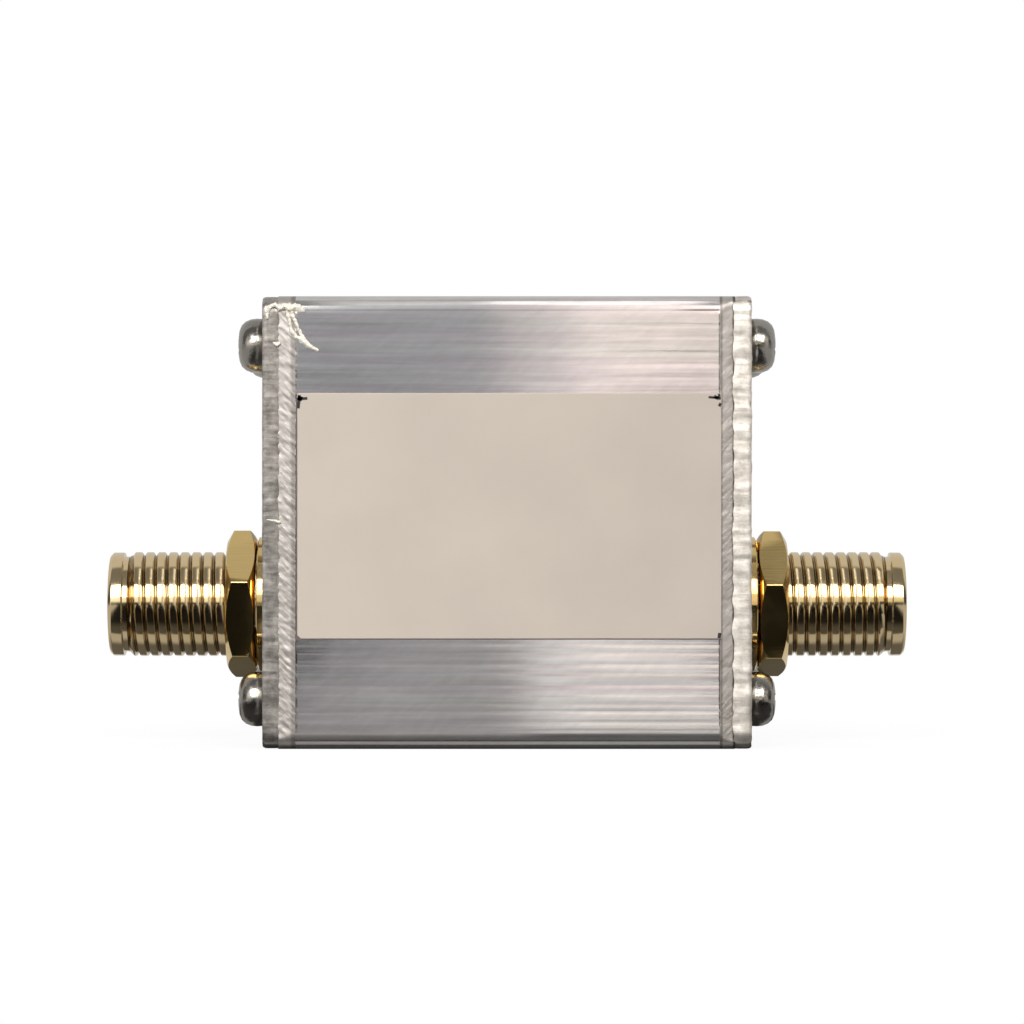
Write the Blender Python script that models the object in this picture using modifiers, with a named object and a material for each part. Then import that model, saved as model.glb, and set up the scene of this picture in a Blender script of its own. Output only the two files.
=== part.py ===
"""Inline coaxial notch filter.

A short length of aluminium extrusion is closed by a screwed plate at each end. Each plate
carries a threaded coaxial jack, held by a lock washer and a nut. A board slides in grooves
of the extrusion and carries the tuned circuits between the two jacks.

X runs from jack to jack, Y from the labelled face to the back, Z is up. The origin is the
middle of the narrow face that the housing stands on. Lengths are in metres.
"""

from math import atan2, cos, pi, radians, sin, tan, tau

import bmesh
import bpy

MM = 0.001

# Clearances
SEAT_GAP = 0.10 * MM  # between faces that rest on each other
FIT_GAP = 0.10 * MM  # all round a piece that sits in a bore or a groove

# Housing extrusion
HOUSING_HEIGHT = 27.0 * MM
HOUSING_DEPTH = 16.0 * MM
TUBE_LENGTH = 26.9 * MM
WALL = 2.0 * MM
EDGE_RADIUS = 1.0 * MM
FILED_LENGTH = 0.85 * MM
FILED_DEPTH = 0.30 * MM
PORT_WALL = 0.85 * MM
PORT_SLOT = 0.90 * MM
PORT_BITE = 0.15 * MM
SLIDE_DEPTH = 0.80 * MM

# End plates and their screws
PLATE_THICKNESS = 1.0 * MM
SCREW_RADIUS = 0.95 * MM
SCREW_LENGTH = 6.0 * MM
SCREW_POINT = 0.50 * MM
HEAD_RADIUS = 1.65 * MM
HEAD_HEIGHT = 1.50 * MM
HEAD_ROUND = 0.45 * MM
RECESS_SPAN = 1.80 * MM
RECESS_WIDTH = 0.42 * MM
RECESS_DEPTH = 0.80 * MM
FIRST_RECESS_TURN = 15.0
NEXT_RECESS_TURN = 25.0

# Coaxial jacks
AXIS_HEIGHT = 8.5 * MM
THREAD_RADIUS = 3.175 * MM
JACK_REACH = 9.65 * MM
COLLAR_RADIUS = 3.10 * MM
COLLAR_LENGTH = 0.85 * MM
TIP_CHAMFER = 0.40 * MM
RELIEF_LENGTH = 0.35 * MM
RELIEF_DEPTH = 0.45 * MM
MOUTH_RADIUS = 2.30 * MM
MOUTH_DEPTH = 1.95 * MM
MOUTH_CHAMFER = 0.15 * MM
FLANGE_FLATS = 8.0 * MM
FLANGE_THICKNESS = 1.60 * MM
INSULATOR_RADIUS = 2.05 * MM
NOSE_RADIUS = 1.60 * MM
NOSE_REACH = 0.40 * MM
LIP_THICKNESS = 0.80 * MM
CONTACT_RADIUS = 0.635 * MM
CONTACT_RECESS = 0.10 * MM
CONTACT_CHAMFER = 0.08 * MM
SOCKET_RADIUS = 0.47 * MM
SOCKET_DEPTH = 2.60 * MM
FINGER_SLOT = 0.20 * MM
FINGER_LENGTH = 2.30 * MM
PIN_RADIUS = 0.45 * MM
PIN_LENGTH = 3.20 * MM

# Lock washers and nuts
WASHER_RADIUS = 4.10 * MM
WASHER_THICKNESS = 0.50 * MM
WASHER_TEETH = 10
TOOTH_LENGTH = 0.45 * MM
TOOTH_SHARE = 0.40  # of a tooth's pitch, at the bore
FLANK_SHARE = 0.10  # of a tooth's pitch, on each side
NUT_FLATS = 8.0 * MM
NUT_THICKNESS = 2.0 * MM
NUT_CHAMFER_ANGLE = 30.0
NUT_FACE_STEP = 0.12 * MM
NUT_COUNTERSINK = 0.25 * MM
LEFT_NUT_TURN = 17.8
RIGHT_NUT_TURN = 14.2

# Board and its copper
BOARD_THICKNESS = 0.80 * MM
BOARD_END_GAP = 0.30 * MM
COPPER_HEIGHT = 0.10 * MM
COPPER_MARGIN = 0.40 * MM
LINE_WIDTH = 3.60 * MM
SERIES_SPACING = 8.0 * MM
SHUNT_SPACING = 8.0 * MM
LINE_BREAK = 1.20 * MM
GROUND_STRIP = 2.40 * MM

# Coils, wound from enamelled wire
WIRE_RADIUS = 0.25 * MM
COIL_RADIUS = 1.40 * MM
COIL_PITCH = 0.75 * MM
SERIES_TURNS = 4.5
SHUNT_TURNS = 5.5
COIL_CLEARANCE = 0.30 * MM
LEG_INSET = 0.30 * MM

# Chip capacitors
CHIP_LENGTH = 2.0 * MM
CHIP_WIDTH = 1.25 * MM
CHIP_HEIGHT = 0.85 * MM
CHIP_CAP_LENGTH = 0.45 * MM
CHIP_CAP_STEP = 0.04 * MM

# Solder at the jack pins
SOLDER_LENGTH = 2.10 * MM
SOLDER_WALL = 0.25 * MM
SOLDER_FOOT = 0.42 * MM

# Label
LABEL_LENGTH = 25.1 * MM
LABEL_HEIGHT = 14.6 * MM
LABEL_THICKNESS = 0.12 * MM
LABEL_TOP = 5.8 * MM

# How finely round shapes are cut
BARREL_STEPS = 40
SMALL_STEPS = 20
COIL_STEPS = 10
SOLDER_STEPS = 16
CORNER_STEPS = 6
RIM_STEPS = 2
SHARP_ANGLE = 32.0
OVERRUN = 1.0 * MM  # how far a cutter runs past the face that it opens
WELD = 0.0001 * MM

# Places worked out from the sizes above
cavity_half_depth = HOUSING_DEPTH / 2 - WALL
cavity_floor = WALL
cavity_ceiling = HOUSING_HEIGHT - WALL
plate_outer_face = TUBE_LENGTH / 2 + SEAT_GAP + PLATE_THICKNESS
port_radius = SCREW_RADIUS + FIT_GAP
port_inset = WALL + port_radius - PORT_BITE
port_places = {
    "front_lower": (-1, port_inset),
    "front_upper": (-1, HOUSING_HEIGHT - port_inset),
    "back_lower": (1, port_inset),
    "back_upper": (1, HOUSING_HEIGHT - port_inset),
}
port_offset = HOUSING_DEPTH / 2 - port_inset

flange_front = -PLATE_THICKNESS - SEAT_GAP
flange_rear = flange_front - FLANGE_THICKNESS
jack_reference = JACK_REACH - MOUTH_DEPTH
lip_top = flange_rear + LIP_THICKNESS
nose_end = flange_rear - NOSE_REACH
barrel_bore = THREAD_RADIUS + FIT_GAP

pin_height = COPPER_HEIGHT + SEAT_GAP + PIN_RADIUS
board_front = pin_height
board_half_length = plate_outer_face + nose_end - BOARD_END_GAP
board_bottom = cavity_floor - SLIDE_DEPTH + FIT_GAP
board_top = cavity_ceiling + SLIDE_DEPTH - FIT_GAP
component_foot = COPPER_HEIGHT + SEAT_GAP


# Scene, collections and finishes
for old in list(bpy.data.objects):
    bpy.data.objects.remove(old, do_unlink=True)

parts = bpy.data.collections.new("rf_notch_filter")
cutters = bpy.data.collections.new("cutters")
bpy.context.scene.collection.children.link(parts)
bpy.context.scene.collection.children.link(cutters)


def linear(channel):
    """One sRGB channel from 0 to 1 as linear light."""
    if channel <= 0.04045:
        return channel / 12.92
    return ((channel + 0.055) / 1.055) ** 2.4


def finish(name, colour, roughness, metallic):
    """A plain material from an sRGB hex colour."""
    material = bpy.data.materials.new(name)
    material.use_nodes = True
    shader = material.node_tree.nodes["Principled BSDF"]
    channels = [int(colour[i:i + 2], 16) / 255 for i in (0, 2, 4)]
    shader.inputs["Base Color"].default_value = (*[linear(c) for c in channels], 1.0)
    shader.inputs["Roughness"].default_value = roughness
    shader.inputs["Metallic"].default_value = metallic
    material.diffuse_color = (*[linear(c) for c in channels], 1.0)
    return material


extruded_aluminium = finish("extruded_aluminium", "B9B4B1", 0.34, 1.0)
sawn_aluminium = finish("sawn_aluminium", "C4BEB9", 0.46, 1.0)
nickel_steel = finish("nickel_plated_steel", "A9A6A0", 0.22, 1.0)
gold_plate = finish("gold_plated_brass", "C79F58", 0.20, 1.0)
contact_gold = finish("gold_plated_copper", "D2AC62", 0.24, 1.0)
fluoropolymer = finish("white_fluoropolymer", "EDEBE4", 0.50, 0.0)
board_laminate = finish("glass_laminate", "2F5A3C", 0.40, 0.0)
enamelled_wire = finish("enamelled_copper_wire", "9A5327", 0.28, 1.0)
chip_ceramic = finish("chip_ceramic", "9C8466", 0.50, 0.0)
tin_solder = finish("tin_solder", "B4B3AF", 0.30, 1.0)
label_paper = finish("label_paper", "D2C5B7", 0.65, 0.0)


# Outlines, as (x, y) points
def arc(centre, radius, start, end, steps):
    """Points along an arc, both ends included, with angles in degrees."""
    points = []
    for step in range(steps + 1):
        angle = radians(start + (end - start) * step / steps)
        points.append((centre[0] + radius * cos(angle), centre[1] + radius * sin(angle)))
    return points


def circle(centre, radius, steps):
    """Points round a full circle."""
    return arc(centre, radius, 0, 360, steps)[:-1]


def rounded_rectangle(width, bottom, top, radius):
    """A rectangle centred on x = 0 with round corners, drawn anticlockwise."""
    right = width / 2 - radius
    corners = [(right, top - radius), (-right, top - radius),
               (-right, bottom + radius), (right, bottom + radius)]
    points = []
    for turn, corner in enumerate(corners):
        points += arc(corner, radius, 90 * turn, 90 * turn + 90, CORNER_STEPS)
    return points


# Solids
def welded_mesh(source, name):
    """The evaluated shape of an object as one welded mesh of its own."""
    bpy.context.view_layer.update()
    depsgraph = bpy.context.evaluated_depsgraph_get()
    mesh = bpy.data.meshes.new_from_object(source.evaluated_get(depsgraph))
    mesh.name = name
    shape = bmesh.new()
    shape.from_mesh(mesh)
    bmesh.ops.remove_doubles(shape, verts=shape.verts, dist=WELD)
    shape.to_mesh(mesh)
    shape.free()
    return mesh


def new_object(name, data, collection):
    """An object in one of the two collections."""
    obj = bpy.data.objects.new(name, data)
    collection.objects.link(obj)
    return obj


def flat_solid(name, loops, thickness, collection=parts):
    """A flat outline with its holes, as a solid that is centred on its own plane."""
    curve = bpy.data.curves.new(name, "CURVE")
    curve.dimensions = "2D"
    curve.fill_mode = "BOTH"
    curve.extrude = thickness / 2
    for loop in loops:
        spline = curve.splines.new("POLY")
        spline.points.add(len(loop) - 1)
        for point, place in zip(spline.points, loop):
            point.co = (place[0], place[1], 0, 1)
        spline.use_cyclic_u = True
    drawn = new_object(name + "_drawn", curve, collection)
    mesh = welded_mesh(drawn, name)
    solid = new_object(name, mesh, collection)
    solid.matrix_world = drawn.matrix_world
    bpy.data.objects.remove(drawn, do_unlink=True)
    bpy.data.curves.remove(curve)
    return solid


def turned_solid(name, profile, steps, closed=False, collection=parts):
    """A turned shape about Z. The (radius, height) profile runs down its outer side, and a
    closed one comes back up through the bore."""
    mesh = bpy.data.meshes.new(name)
    shape = bmesh.new()
    points = [shape.verts.new((radius, 0, height)) for radius, height in profile]
    for first, second in zip(points, points[1:]):
        shape.edges.new((first, second))
    if closed:
        shape.edges.new((points[-1], points[0]))
    shape.to_mesh(mesh)
    shape.free()
    solid = new_object(name, mesh, collection)
    lathe = solid.modifiers.new("turning", "SCREW")
    lathe.axis = "Z"
    lathe.angle = tau
    lathe.steps = steps
    lathe.render_steps = steps
    lathe.use_merge_vertices = True
    lathe.merge_threshold = WELD
    return solid


def block(name, size, centre, collection=parts):
    """A box of a given size, with its place in its mesh."""
    mesh = bpy.data.meshes.new(name)
    shape = bmesh.new()
    bmesh.ops.create_cube(shape, size=1.0)
    bmesh.ops.scale(shape, vec=size, verts=shape.verts)
    bmesh.ops.translate(shape, vec=centre, verts=shape.verts)
    shape.to_mesh(mesh)
    shape.free()
    return new_object(name, mesh, collection)


def combine(target, tool, operation):
    """Joins, cuts or intersects a solid with another, which becomes a hidden cutter."""
    tool.hide_render = True
    tool.display_type = "WIRE"
    step = target.modifiers.new(tool.name, "BOOLEAN")
    step.operation = operation
    step.solver = "EXACT"
    step.object = tool


def finished_mesh(master):
    """The mesh of a master whose modifiers are done. The master and its cutters go."""
    mesh = welded_mesh(master, master.name)
    tools = [step.object for step in master.modifiers if step.type == "BOOLEAN"]
    for used in tools + [master]:
        bpy.data.objects.remove(used, do_unlink=True)
    mesh.shade_smooth()
    mesh.set_sharp_from_angle(angle=radians(SHARP_ANGLE))
    return mesh


def place(name, mesh, material, parent, location=(0, 0, 0), turn=0.0):
    """One piece made from a finished mesh, set in its parent's frame."""
    piece = new_object(name, mesh, parts)
    if not mesh.materials:
        mesh.materials.append(material)
    piece.parent = parent
    piece.location = location
    piece.rotation_euler = (0, 0, turn)
    return piece


def frame_empty(name, location, rotation):
    """An empty that carries the pieces drawn in one local frame."""
    frame = new_object(name, None, parts)
    frame.empty_display_size = 0.005
    frame.location = location
    frame.rotation_euler = rotation
    return frame


# Housing tube. The section stands in local X and Y, and the extrusion runs along local Z.
housing = frame_empty("housing_frame", (0, 0, 0), (pi / 2, 0, pi / 2))

groove_front = board_front - FIT_GAP
groove_back = board_front + BOARD_THICKNESS + FIT_GAP
groove_floor = cavity_floor - SLIDE_DEPTH
groove_ceiling = cavity_ceiling + SLIDE_DEPTH
cavity_outline = [
    (-cavity_half_depth, cavity_floor), (groove_front, cavity_floor),
    (groove_front, groove_floor), (groove_back, groove_floor),
    (groove_back, cavity_floor), (cavity_half_depth, cavity_floor),
    (cavity_half_depth, cavity_ceiling), (groove_back, cavity_ceiling),
    (groove_back, groove_ceiling), (groove_front, groove_ceiling),
    (groove_front, cavity_ceiling), (-cavity_half_depth, cavity_ceiling),
]
shell_outline = rounded_rectangle(HOUSING_DEPTH, 0, HOUSING_HEIGHT, EDGE_RADIUS)
raw_length = TUBE_LENGTH + 2 * OVERRUN
tube = flat_solid("housing_tube", [shell_outline, cavity_outline], raw_length)
tube.parent = housing
tube.data.materials.append(extruded_aluminium)

for corner, (hand, height) in port_places.items():
    boss = flat_solid("boss_" + corner,
                      [circle((0, 0), port_radius + PORT_WALL, SMALL_STEPS)],
                      raw_length, cutters)
    bore = flat_solid("port_" + corner, [circle((0, 0), port_radius, SMALL_STEPS)],
                      raw_length + 2 * OVERRUN, cutters)
    mouth_length = port_radius + PORT_WALL + OVERRUN
    mouth = block("mouth_" + corner, (mouth_length, PORT_SLOT, raw_length + 2 * OVERRUN),
                  (mouth_length / 2, 0, 0), cutters)
    inward_up = 1 if height < HOUSING_HEIGHT / 2 else -1
    mouth.rotation_euler = (0, 0, atan2(inward_up, -hand))
    for tool, operation in ((boss, "UNION"), (bore, "DIFFERENCE"), (mouth, "DIFFERENCE")):
        tool.parent = housing
        tool.location = (hand * port_offset, height, 0)
        combine(tube, tool, operation)

tube_end = TUBE_LENGTH / 2
filed_edge = HOUSING_DEPTH / 2 - FILED_DEPTH
past_face = HOUSING_DEPTH / 2 + FILED_DEPTH
past_bevel = tube_end - 2 * FILED_LENGTH
plan_outline = [
    (tube_end, -filed_edge), (tube_end, filed_edge), (past_bevel, past_face),
    (-past_bevel, past_face), (-tube_end, filed_edge), (-tube_end, -filed_edge),
    (-past_bevel, -past_face), (past_bevel, -past_face),
]
saw_and_file = flat_solid("saw_and_file", [plan_outline],
                          HOUSING_HEIGHT + 2 * OVERRUN, cutters)
saw_and_file.location = (0, 0, HOUSING_HEIGHT / 2)
combine(tube, saw_and_file, "INTERSECT")


# Master meshes of the pieces at an end. Local Z points out of the housing and z = 0 is the
# outer face of the end plate.
screw_hole = SCREW_RADIUS + 2 * FIT_GAP
plate_loops = [rounded_rectangle(HOUSING_DEPTH, 0, HOUSING_HEIGHT, EDGE_RADIUS),
               circle((0, AXIS_HEIGHT), barrel_bore, BARREL_STEPS)]
for hand, height in port_places.values():
    plate_loops.append(circle((hand * port_offset, height), screw_hole, SMALL_STEPS))
plate_mesh = finished_mesh(flat_solid("end_plate", plate_loops, PLATE_THICKNESS))

rim = arc((HEAD_RADIUS - HEAD_ROUND, HEAD_HEIGHT - HEAD_ROUND), HEAD_ROUND, 90, 0,
          RIM_STEPS)
screw_profile = [(0, HEAD_HEIGHT), *rim, (HEAD_RADIUS, 0), (SCREW_RADIUS, 0),
                 (SCREW_RADIUS, SCREW_POINT - SCREW_LENGTH),
                 (SCREW_RADIUS / 2, -SCREW_LENGTH), (0, -SCREW_LENGTH)]
screw = turned_solid("plate_screw", screw_profile, SMALL_STEPS)
recess_floor = HEAD_HEIGHT - RECESS_DEPTH
recess_height = RECESS_DEPTH + OVERRUN
for tool_name, size in (("recess_across", (RECESS_SPAN, RECESS_WIDTH, recess_height)),
                        ("recess_along", (RECESS_WIDTH, RECESS_SPAN, recess_height))):
    recess = block(tool_name, size, (0, 0, recess_floor + recess_height / 2), cutters)
    combine(screw, recess, "DIFFERENCE")
screw_mesh = finished_mesh(screw)

collar_base = JACK_REACH - COLLAR_LENGTH
relief_base = collar_base - RELIEF_LENGTH
relief_radius = THREAD_RADIUS - RELIEF_DEPTH
barrel_profile = [
    (0, JACK_REACH), (COLLAR_RADIUS - TIP_CHAMFER, JACK_REACH),
    (COLLAR_RADIUS, JACK_REACH - TIP_CHAMFER), (COLLAR_RADIUS, collar_base),
    (relief_radius, collar_base), (relief_radius, relief_base),
    (THREAD_RADIUS, relief_base - RELIEF_DEPTH / 2),
    (THREAD_RADIUS, flange_front - FLANGE_THICKNESS / 2),
    (0, flange_front - FLANGE_THICKNESS / 2),
]
shell = turned_solid("jack_shell", barrel_profile, BARREL_STEPS)
flange_corner = FLANGE_FLATS / 2 / cos(pi / 6)
flange = flat_solid("jack_flange", [circle((0, 0), flange_corner, 6)], FLANGE_THICKNESS,
                    cutters)
flange.location = (0, 0, flange_front - FLANGE_THICKNESS / 2)
combine(shell, flange, "UNION")
flare = MOUTH_RADIUS + MOUTH_CHAMFER
bore_profile = [
    (0, JACK_REACH + OVERRUN), (flare, JACK_REACH + OVERRUN), (flare, JACK_REACH),
    (MOUTH_RADIUS, JACK_REACH - MOUTH_CHAMFER), (MOUTH_RADIUS, jack_reference),
    (INSULATOR_RADIUS + FIT_GAP, jack_reference), (INSULATOR_RADIUS + FIT_GAP, lip_top),
    (NOSE_RADIUS + FIT_GAP, lip_top), (NOSE_RADIUS + FIT_GAP, flange_rear - OVERRUN),
    (0, flange_rear - OVERRUN),
]
shell_bore = turned_solid("jack_bore", bore_profile, BARREL_STEPS, collection=cutters)
combine(shell, shell_bore, "DIFFERENCE")
shell_mesh = finished_mesh(shell)

contact_shoulder = flange_rear
insulator_profile = [
    (INSULATOR_RADIUS, jack_reference), (INSULATOR_RADIUS, lip_top + SEAT_GAP),
    (NOSE_RADIUS, lip_top + SEAT_GAP), (NOSE_RADIUS, nose_end),
    (PIN_RADIUS + FIT_GAP, nose_end), (PIN_RADIUS + FIT_GAP, contact_shoulder - SEAT_GAP),
    (CONTACT_RADIUS + FIT_GAP, contact_shoulder - SEAT_GAP),
    (CONTACT_RADIUS + FIT_GAP, jack_reference),
]
insulator_mesh = finished_mesh(
    turned_solid("jack_insulator", insulator_profile, SMALL_STEPS, closed=True))

contact_front = jack_reference - CONTACT_RECESS
pin_end = nose_end - PIN_LENGTH
contact_profile = [
    (0, contact_front), (CONTACT_RADIUS - CONTACT_CHAMFER, contact_front),
    (CONTACT_RADIUS, contact_front - CONTACT_CHAMFER), (CONTACT_RADIUS, contact_shoulder),
    (PIN_RADIUS, contact_shoulder), (PIN_RADIUS, pin_end + CONTACT_CHAMFER),
    (PIN_RADIUS - CONTACT_CHAMFER, pin_end), (0, pin_end),
]
contact = turned_solid("jack_contact", contact_profile, SMALL_STEPS)
socket_profile = [(0, contact_front + OVERRUN), (SOCKET_RADIUS, contact_front + OVERRUN),
                  (SOCKET_RADIUS, contact_front - SOCKET_DEPTH),
                  (0, contact_front - SOCKET_DEPTH)]
socket = turned_solid("contact_socket", socket_profile, SMALL_STEPS, collection=cutters)
combine(contact, socket, "DIFFERENCE")
slot_span = 2 * CONTACT_RADIUS + OVERRUN
slot_height = FINGER_LENGTH + OVERRUN
slot_centre = contact_front - FINGER_LENGTH + slot_height / 2
for tool_name, size in (("finger_slot_across", (slot_span, FINGER_SLOT, slot_height)),
                        ("finger_slot_along", (FINGER_SLOT, slot_span, slot_height))):
    slot = block(tool_name, size, (0, 0, slot_centre), cutters)
    combine(contact, slot, "DIFFERENCE")
contact_mesh = finished_mesh(contact)

gullet_radius = barrel_bore + TOOTH_LENGTH
tooth_pitch = 360 / WASHER_TEETH
tooth_angle = TOOTH_SHARE * tooth_pitch
flank_angle = FLANK_SHARE * tooth_pitch
tooth_loop = []
for tooth in range(WASHER_TEETH):
    start = tooth * tooth_pitch
    tooth_loop += arc((0, 0), barrel_bore, start, start + tooth_angle, RIM_STEPS)
    tooth_loop += arc((0, 0), gullet_radius, start + tooth_angle + flank_angle,
                      start + tooth_pitch - flank_angle, RIM_STEPS)
washer_loops = [circle((0, 0), WASHER_RADIUS, BARREL_STEPS), tooth_loop]
washer_mesh = finished_mesh(flat_solid("lock_washer", washer_loops, WASHER_THICKNESS))

nut_corner = NUT_FLATS / 2 / cos(pi / 6)
nut_face_radius = NUT_FLATS / 2 - NUT_FACE_STEP
nut_half = NUT_THICKNESS / 2
nut = flat_solid("hex_nut", [circle((0, 0), nut_corner, 6)], NUT_THICKNESS + 2 * OVERRUN)
crown_radius = nut_face_radius + nut_half / tan(radians(NUT_CHAMFER_ANGLE))
crown_profile = [(0, nut_half), (nut_face_radius, nut_half), (crown_radius, 0),
                 (nut_face_radius, -nut_half), (0, -nut_half)]
crown = turned_solid("nut_crown", crown_profile, BARREL_STEPS, collection=cutters)
combine(nut, crown, "INTERSECT")
sink = barrel_bore + NUT_COUNTERSINK
sink_height = nut_half - NUT_COUNTERSINK
nut_bore_profile = [
    (0, nut_half + OVERRUN), (sink, nut_half + OVERRUN), (sink, nut_half),
    (barrel_bore, sink_height), (barrel_bore, -sink_height), (sink, -nut_half),
    (sink, -nut_half - OVERRUN), (0, -nut_half - OVERRUN),
]
nut_bore = turned_solid("nut_bore", nut_bore_profile, BARREL_STEPS, collection=cutters)
combine(nut, nut_bore, "DIFFERENCE")
nut_mesh = finished_mesh(nut)


# The two ends. Local Y stays upright. Local X points to the front on the left end and to the
# back on the right end, which is the sign beside each frame.
ends = {
    "left": (frame_empty("left_end", (-plate_outer_face, 0, 0), (pi / 2, 0, -pi / 2)),
             -1, radians(LEFT_NUT_TURN)),
    "right": (frame_empty("right_end", (plate_outer_face, 0, 0), (pi / 2, 0, pi / 2)),
              1, pi - radians(RIGHT_NUT_TURN)),
}
washer_seat = SEAT_GAP
nut_seat = washer_seat + WASHER_THICKNESS + SEAT_GAP
for end_name, (end, backward, nut_turn) in ends.items():
    place("end_plate_" + end_name, plate_mesh, sawn_aluminium, end,
          (0, 0, -PLATE_THICKNESS / 2))
    for number, (corner, (hand, height)) in enumerate(port_places.items()):
        recess_turn = radians(FIRST_RECESS_TURN + number * NEXT_RECESS_TURN)
        place("screw_" + end_name + "_" + corner, screw_mesh, nickel_steel, end,
              (hand * backward * port_offset, height, SEAT_GAP), recess_turn)
    axis = (0, AXIS_HEIGHT, 0)
    place("jack_shell_" + end_name, shell_mesh, gold_plate, end, axis)
    place("jack_insulator_" + end_name, insulator_mesh, fluoropolymer, end, axis)
    place("jack_contact_" + end_name, contact_mesh, contact_gold, end, axis)
    place("lock_washer_" + end_name, washer_mesh, gold_plate, end,
          (0, AXIS_HEIGHT, washer_seat + WASHER_THICKNESS / 2))
    place("hex_nut_" + end_name, nut_mesh, gold_plate, end,
          (0, AXIS_HEIGHT, nut_seat + NUT_THICKNESS / 2), nut_turn)


# Label on the front face
label_centre = (0, -HOUSING_DEPTH / 2 - SEAT_GAP - LABEL_THICKNESS / 2,
                HOUSING_HEIGHT - LABEL_TOP - LABEL_HEIGHT / 2)
label = block("front_label", (LABEL_LENGTH, LABEL_THICKNESS, LABEL_HEIGHT), label_centre)
label.data.materials.append(label_paper)


# Board. In its frame local X is the housing's X, local Y is up and local Z rises from the
# component side towards the labelled face.
board_frame = frame_empty("board_frame", (0, board_front, 0), (pi / 2, 0, 0))
board = block("filter_board",
              (2 * board_half_length, board_top - board_bottom, BOARD_THICKNESS),
              (0, (board_top + board_bottom) / 2, -BOARD_THICKNESS / 2))
board.parent = board_frame
board.data.materials.append(board_laminate)

shunt_coil_length = SHUNT_TURNS * COIL_PITCH
series_coil_length = SERIES_TURNS * COIL_PITCH
line_top = AXIS_HEIGHT + LINE_WIDTH / 2
shunt_foot = line_top - LEG_INSET
shunt_head = shunt_foot + shunt_coil_length
island_bottom = shunt_head - LEG_INSET - WIRE_RADIUS
island_top = shunt_head + LEG_INSET + CHIP_CAP_LENGTH + WIRE_RADIUS
ground_bottom = island_top + LINE_BREAK
copper_end = board_half_length - COPPER_MARGIN
copper_low = cavity_floor + COPPER_MARGIN
copper_high = cavity_ceiling - COPPER_MARGIN
island_half_width = COIL_RADIUS + WIRE_RADIUS + LEG_INSET
break_near = SERIES_SPACING / 2 - LINE_BREAK / 2
break_far = SERIES_SPACING / 2 + LINE_BREAK / 2
line_low = AXIS_HEIGHT - LINE_WIDTH / 2

copper_areas = {
    "line_left": (-copper_end, -break_far, line_low, line_top),
    "line_middle": (-break_near, break_near, line_low, line_top),
    "line_right": (break_far, copper_end, line_low, line_top),
    "ground_upper": (-copper_end, copper_end, ground_bottom, copper_high),
    "ground_lower": (-copper_end, copper_end, copper_low, copper_low + GROUND_STRIP),
}
shunt_places = {"left": -SHUNT_SPACING, "middle": 0.0, "right": SHUNT_SPACING}
for which, x in shunt_places.items():
    copper_areas["island_" + which] = (x - island_half_width, x + island_half_width,
                                       island_bottom, island_top)
copper_root = BOARD_THICKNESS / 2
for area, (x_low, x_high, y_low, y_high) in copper_areas.items():
    copper = block("copper_" + area,
                   (x_high - x_low, y_high - y_low, COPPER_HEIGHT + copper_root),
                   ((x_low + x_high) / 2, (y_low + y_high) / 2,
                    (COPPER_HEIGHT - copper_root) / 2), cutters)
    copper.parent = board_frame
    combine(board, copper, "UNION")


# Coils. The wire rises from its pad, winds round local X and comes down on the other side.
def wound_coil(name, turns, height, location, turn):
    """A coil with its axis at a given height above the board."""
    half_length = turns * COIL_PITCH / 2
    path = [(-half_length, COIL_RADIUS, component_foot)]
    for step in range(round(turns * COIL_STEPS) + 1):
        angle = tau * step / COIL_STEPS
        path.append((COIL_PITCH * step / COIL_STEPS - half_length, COIL_RADIUS * cos(angle),
                     height + COIL_RADIUS * sin(angle)))
    path.append((half_length, -COIL_RADIUS, component_foot))
    curve = bpy.data.curves.new(name, "CURVE")
    curve.dimensions = "3D"
    curve.bevel_depth = WIRE_RADIUS
    curve.bevel_resolution = 2
    curve.use_fill_caps = True
    spline = curve.splines.new("POLY")
    spline.points.add(len(path) - 1)
    for point, spot in zip(spline.points, path):
        point.co = (*spot, 1)
    drawn = new_object(name + "_drawn", curve, parts)
    mesh = finished_mesh(drawn)
    place(name, mesh, enamelled_wire, board_frame, location, turn)


coil_outer = COIL_RADIUS + WIRE_RADIUS
chip_top = component_foot + CHIP_HEIGHT + 2 * CHIP_CAP_STEP
series_height = chip_top + COIL_CLEARANCE + coil_outer
shunt_height = component_foot + COIL_CLEARANCE + coil_outer

chip_half = CHIP_LENGTH / 2
waist = chip_half - CHIP_CAP_LENGTH
cap_top = CHIP_HEIGHT + 2 * CHIP_CAP_STEP
waist_top = CHIP_HEIGHT + CHIP_CAP_STEP
chip_outline = [
    (-chip_half, 0), (-waist, 0), (-waist, CHIP_CAP_STEP), (waist, CHIP_CAP_STEP),
    (waist, 0), (chip_half, 0), (chip_half, cap_top), (waist, cap_top),
    (waist, waist_top), (-waist, waist_top), (-waist, cap_top), (-chip_half, cap_top),
]
chip_mesh = finished_mesh(flat_solid("chip_capacitor", [chip_outline], CHIP_WIDTH))


def chip(name, location, turn):
    """A chip capacitor that lies on the copper, bridging a gap along its own length."""
    piece = place(name, chip_mesh, chip_ceramic, board_frame, location)
    piece.rotation_euler = (pi / 2, 0, turn)


for which, hand in (("left", -1), ("right", 1)):
    x = hand * SERIES_SPACING / 2
    wound_coil("series_coil_" + which, SERIES_TURNS, series_height, (x, AXIS_HEIGHT, 0), 0)
    chip("series_capacitor_" + which, (x, AXIS_HEIGHT, component_foot), 0)

for which, x in shunt_places.items():
    wound_coil("shunt_coil_" + which, SHUNT_TURNS, shunt_height,
               (x, shunt_foot + shunt_coil_length / 2, 0), pi / 2)
    chip("shunt_capacitor_" + which, (x, island_top + LINE_BREAK / 2, component_foot),
         pi / 2)


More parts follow.
